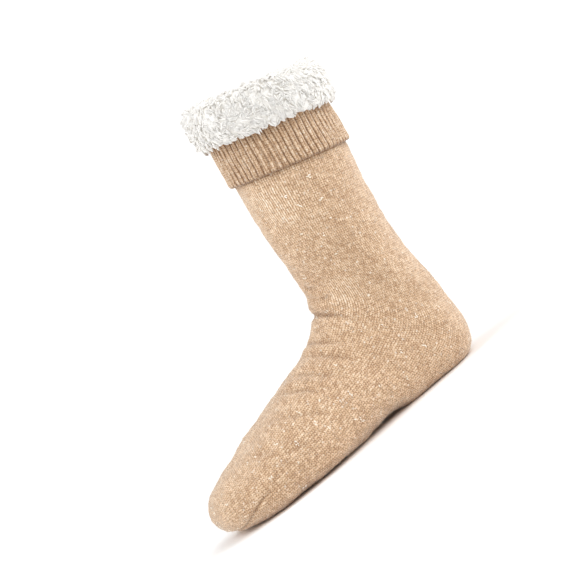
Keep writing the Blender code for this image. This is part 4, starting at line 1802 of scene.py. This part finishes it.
def curl_mesh(root: Array, middle: Array, tip: Array, radius: float, tone: Array) -> tuple[Array, ...]:
    """Round-ended curls, each bent through its middle.

    Args:
        root: Where each curl starts.
        middle: The point that it bends towards.
        tip: Where it ends.
        radius: Its radius at its thickest.
        tone: Its own lightness, added to the change along it.

    Returns:
        The vertices, the triangles and the tone of each vertex.
    """
    sides, rings, count = CURL_SIDES, len(CURL_RINGS), len(root)
    along, width, light = np.array(CURL_RINGS).T
    share = along[None, :, None]
    spine = (1 - share) ** 2 * root[:, None] + 2 * share * (1 - share) * middle[:, None]
    spine = spine + share**2 * tip[:, None]
    aim = unit(tip - root)
    level = np.abs(aim[:, 2:]) < 0.8
    side = unit(np.cross(aim, np.where(level, [[0.0, 0.0, 1.0]], [[1.0, 0.0, 0.0]])))
    up = np.cross(aim, side)
    turns = np.arange(sides) * TURN / sides
    ring = side[:, None] * np.cos(turns)[None, :, None] + up[:, None] * np.sin(turns)[None, :, None]
    taper = radius * width[None, :, None, None]
    tubes = (spine[:, :, None] + ring[:, None] * taper).reshape(count, rings * sides, 3)
    points = np.concatenate([tubes, tip[:, None]], axis=1)
    step = np.arange(sides)
    after = (step + 1) % sides
    faces = [(corner, corner - 1, 0) for corner in range(2, sides)]
    for low in range(0, (rings - 1) * sides, sides):
        faces.extend(zip(low + step, low + after, low + after + sides))
        faces.extend(zip(low + step, low + after + sides, low + step + sides))
    last = (rings - 1) * sides
    faces.extend(zip(last + step, last + after, [rings * sides] * sides))
    every = (np.arange(count)[:, None, None] * points.shape[1] + np.array(faces)[None]).reshape(-1, 3)
    tones = np.append(np.repeat(light, sides), 1.0)
    return points.reshape(-1, 3), every, (tones[None] + tone[:, None]).ravel()


@dataclass
class Lining:
    """The fleece lining inside the leg and foot, from under the roll down to the toes.

    Attributes:
        last: The form that it lies on.
        thickness: How thick it is.
        floor_thickness: How thick it is under the footbed.
        top: The height above the cuff's hem that it reaches.
        clear: The gap between the knit and the lining.
        floor_clear: The gap under it.
        low_from: The height from which it thickens above the sole.
        low_over: How much higher it has its full thickness.
        toe_back: How far the end of its outside and of its inside lie back from the toe.
        first_ring: The first of the rings that it has.
        rings: Rings of points from toe to rim on the form.
        around: Points in a ring.
        tone: Its lightness.
        lumps: Its uneven relief.
    """

    last: Last
    thickness: float = 2.4
    floor_thickness: float = 0.3
    top: float = 34.5
    clear: float = 0.3
    floor_clear: float = 0.2
    low_from: float = 9.0
    low_over: float = 8.0
    toe_back: tuple[float, float] = (2.0, 4.0)
    first_ring: int = 3
    rings: int = 110
    around: int = 96
    tone: float = 0.8
    lumps: Ripple = Ripple(7.0, 0.35, 51)

    def build(self, finish: bpy.types.Material) -> None:
        """Makes and dresses the lining as a thin closed shell.

        Args:
            finish: The fleece's material.
        """
        skin = self.last.skin(self.rings, self.around)
        hem = self.last.shaft(np.array([0.0, math.pi]), np.array(0.0), np.array(self.top))[:, 2].mean()
        below = slice(self.first_ring, int(np.searchsorted(skin.points[..., 2].mean(axis=1), hem)))
        skin = Skin(skin.points[below], skin.normals[below], skin.pole)
        outer = skin.inset(KNIT_WALL + self.clear, KNIT_WALL + self.floor_clear)
        low = smooth_step((skin.points[..., 2] - self.low_from) / self.low_over)
        depth = (self.thickness + self.lumps.relief(skin.points)) * low
        inside = outer.points - skin.normals * depth[..., None]
        inside[..., 2] += self.floor_thickness * (1.0 - low)
        outer_pole, inner_pole = (outer.pole - [back, 0.0, 0.0] for back in self.toe_back)
        inner = Skin(inside, skin.normals, inner_pole)
        points, quads, caps = shell_of(replace(outer, pole=outer_pole), inner)
        groups = [Corners(np.vstack(quads)), Corners(caps)]
        tone = np.full(len(points), self.tone)
        piece = shaped_piece("fleece_lining", self.last.placed(points), groups, tone=tone)
        dress(piece, finish)


@dataclass
class Footbed:
    """The fleece under the foot, finished from its solid with a softer, uneven pile.

    Attributes:
        lumps: Its uneven relief.
        tone: Its lightness.
    """

    lumps: Ripple = Ripple(11.0, 0.175, 61)
    tone: float = 0.8

    def build(self, finish: bpy.types.Material) -> None:
        """Makes and dresses the footbed.

        Args:
            finish: The fleece's material.
        """
        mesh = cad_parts["fleece_footbed"].data.copy()
        mesh.materials.clear()
        count = len(mesh.vertices)
        places = np.empty(count * 3)
        mesh.vertices.foreach_get("co", places)
        places = places.reshape(-1, 3)
        places[:, 2] += MM * self.lumps.relief(places / MM)
        mesh.vertices.foreach_set("co", places.ravel())
        mesh.attributes.new("tone", "FLOAT", "POINT").data.foreach_set("value", np.full(count, self.tone))
        mesh.shade_smooth()
        dress(linked("fleece_footbed_dressed", mesh), finish, "fleece_footbed")


@dataclass(frozen=True)
class Sun:
    """A soft far light: where it stands as seen from the sock, its strength and how wide it is."""

    name: str
    stands: tuple[float, float, float]
    strength: float
    spread: float


@dataclass
class Studio:
    """The pale floor, the soft light and the camera, which is rolled as far as a raised heel tilts the sock.

    Attributes:
        azimuth: How far round from the sock's outer side the camera stands, in degrees towards the toe.
        elevation: How far up it stands, in degrees.
        roll: How far it is rolled, in degrees.
        distance: How far from its target it stands, in metres.
        lens: Its focal length, in millimetres.
        sensor: Its sensor's width, in millimetres.
        target: The place that it looks at, in metres.
        bounces: How often light may bounce from cloth to cloth.
        floor_size: The floor's side, in metres.
        world_light: The strength of the even light from all round.
        suns: The soft lights.
    """

    azimuth: float = 17.0
    elevation: float = 6.5
    roll: float = 37.0
    distance: float = 3.6
    lens: float = 300.0
    sensor: float = 36.0
    target: tuple[float, float, float] = (0.014, 0.0, 0.128)
    bounces: int = 12
    floor_size: float = 80.0
    world_light: float = 0.50
    suns: tuple[Sun, ...] = (
        Sun("top_light", (0.55, -0.5, 0.68), 1.6, 60.0),
        Sun("toe_side_light", (-0.65, 0.0, 0.75), 1.4, 50.0),
        Sun("rim_light", (-0.85, 0.5, 0.15), 0.8, 40.0),
        Sun("heel_side_light", (0.9, 0.2, 0.25), 1.5, 50.0),
        Sun("front_light", (0.0, -0.9, 0.4), 0.2, 70.0),
    )

    def build_floor(self) -> None:
        """Lays the floor."""
        half = self.floor_size / 2
        corners = [(-half, -half, 0), (half, -half, 0), (half, half, 0), (-half, half, 0)]
        mesh = bpy.data.meshes.new("floor")
        mesh.from_pydata(corners, [], [(0, 1, 2, 3)])
        mesh.materials.append(PaleFloor().material())
        linked("floor", mesh)

    def build_light(self) -> None:
        """Sets the even surrounding light and the soft suns."""
        world = bpy.data.worlds.new("studio")
        world.use_nodes = True
        background = world.node_tree.nodes["Background"]
        background.inputs["Color"].default_value = (1.0, 1.0, 1.0, 1.0)
        background.inputs["Strength"].default_value = self.world_light
        bpy.context.scene.world = world
        for sun in self.suns:
            light = bpy.data.lights.new(sun.name, "SUN")
            light.energy = sun.strength
            light.angle = math.radians(sun.spread)
            lamp = linked(sun.name, light)
            lamp.rotation_euler = Vector(sun.stands).to_track_quat("Z", "Y").to_euler()

    def build_camera(self) -> None:
        """Stands the camera at the sock's outer side and rolls it."""
        data = bpy.data.cameras.new("camera")
        data.lens = self.lens
        data.sensor_width = self.sensor
        turn, rise = math.radians(self.azimuth), math.radians(self.elevation)
        back = Vector((-math.sin(turn) * math.cos(rise), -math.cos(turn) * math.cos(rise), math.sin(rise)))
        rolled = Matrix.Rotation(-math.radians(self.roll), 3, "Z")
        facing = back.to_track_quat("Z", "Y").to_matrix() @ rolled
        place = Matrix.Translation(Vector(self.target) + back * self.distance)
        camera = linked("camera", data)
        camera.matrix_world = place @ facing.to_4x4()
        bpy.context.scene.camera = camera

    def build(self) -> None:
        """Sets up the whole studio."""
        bpy.context.scene.view_settings.view_transform = "Standard"
        bpy.context.scene.cycles.diffuse_bounces = self.bounces
        bpy.context.scene.cycles.denoising_prefilter = "NONE"
        self.build_floor()
        self.build_light()
        self.build_camera()


def main() -> None:
    """Builds the studio and each sub-assembly in order, and logs each piece."""
    logging.basicConfig(level=logging.INFO, format="%(name)s: %(message)s")
    last = Last()
    Studio().build()
    knit = MarledKnit("marled_knit").material()
    rib = MarledKnit("marled_rib").material()
    fleece = Fleece("white_fleece").material()
    pale = PaleYarn().material()
    skin = KnitSock(last).build(knit)
    Slubs(last).build(skin, pale)
    Fuzz("knit_fuzz", 30000, "marled_knit", 81).build(last, skin.points, skin.normals, pale)
    shown, outward = RibCuff(last).build(rib)
    Fuzz("cuff_fuzz", 5000, "marled_rib", 82).build(last, shown, outward, pale)
    FleeceRoll(last).build(fleece)
    Lining(last).build(fleece)
    Footbed().build(fleece)


if __name__ == "__main__":
    main()
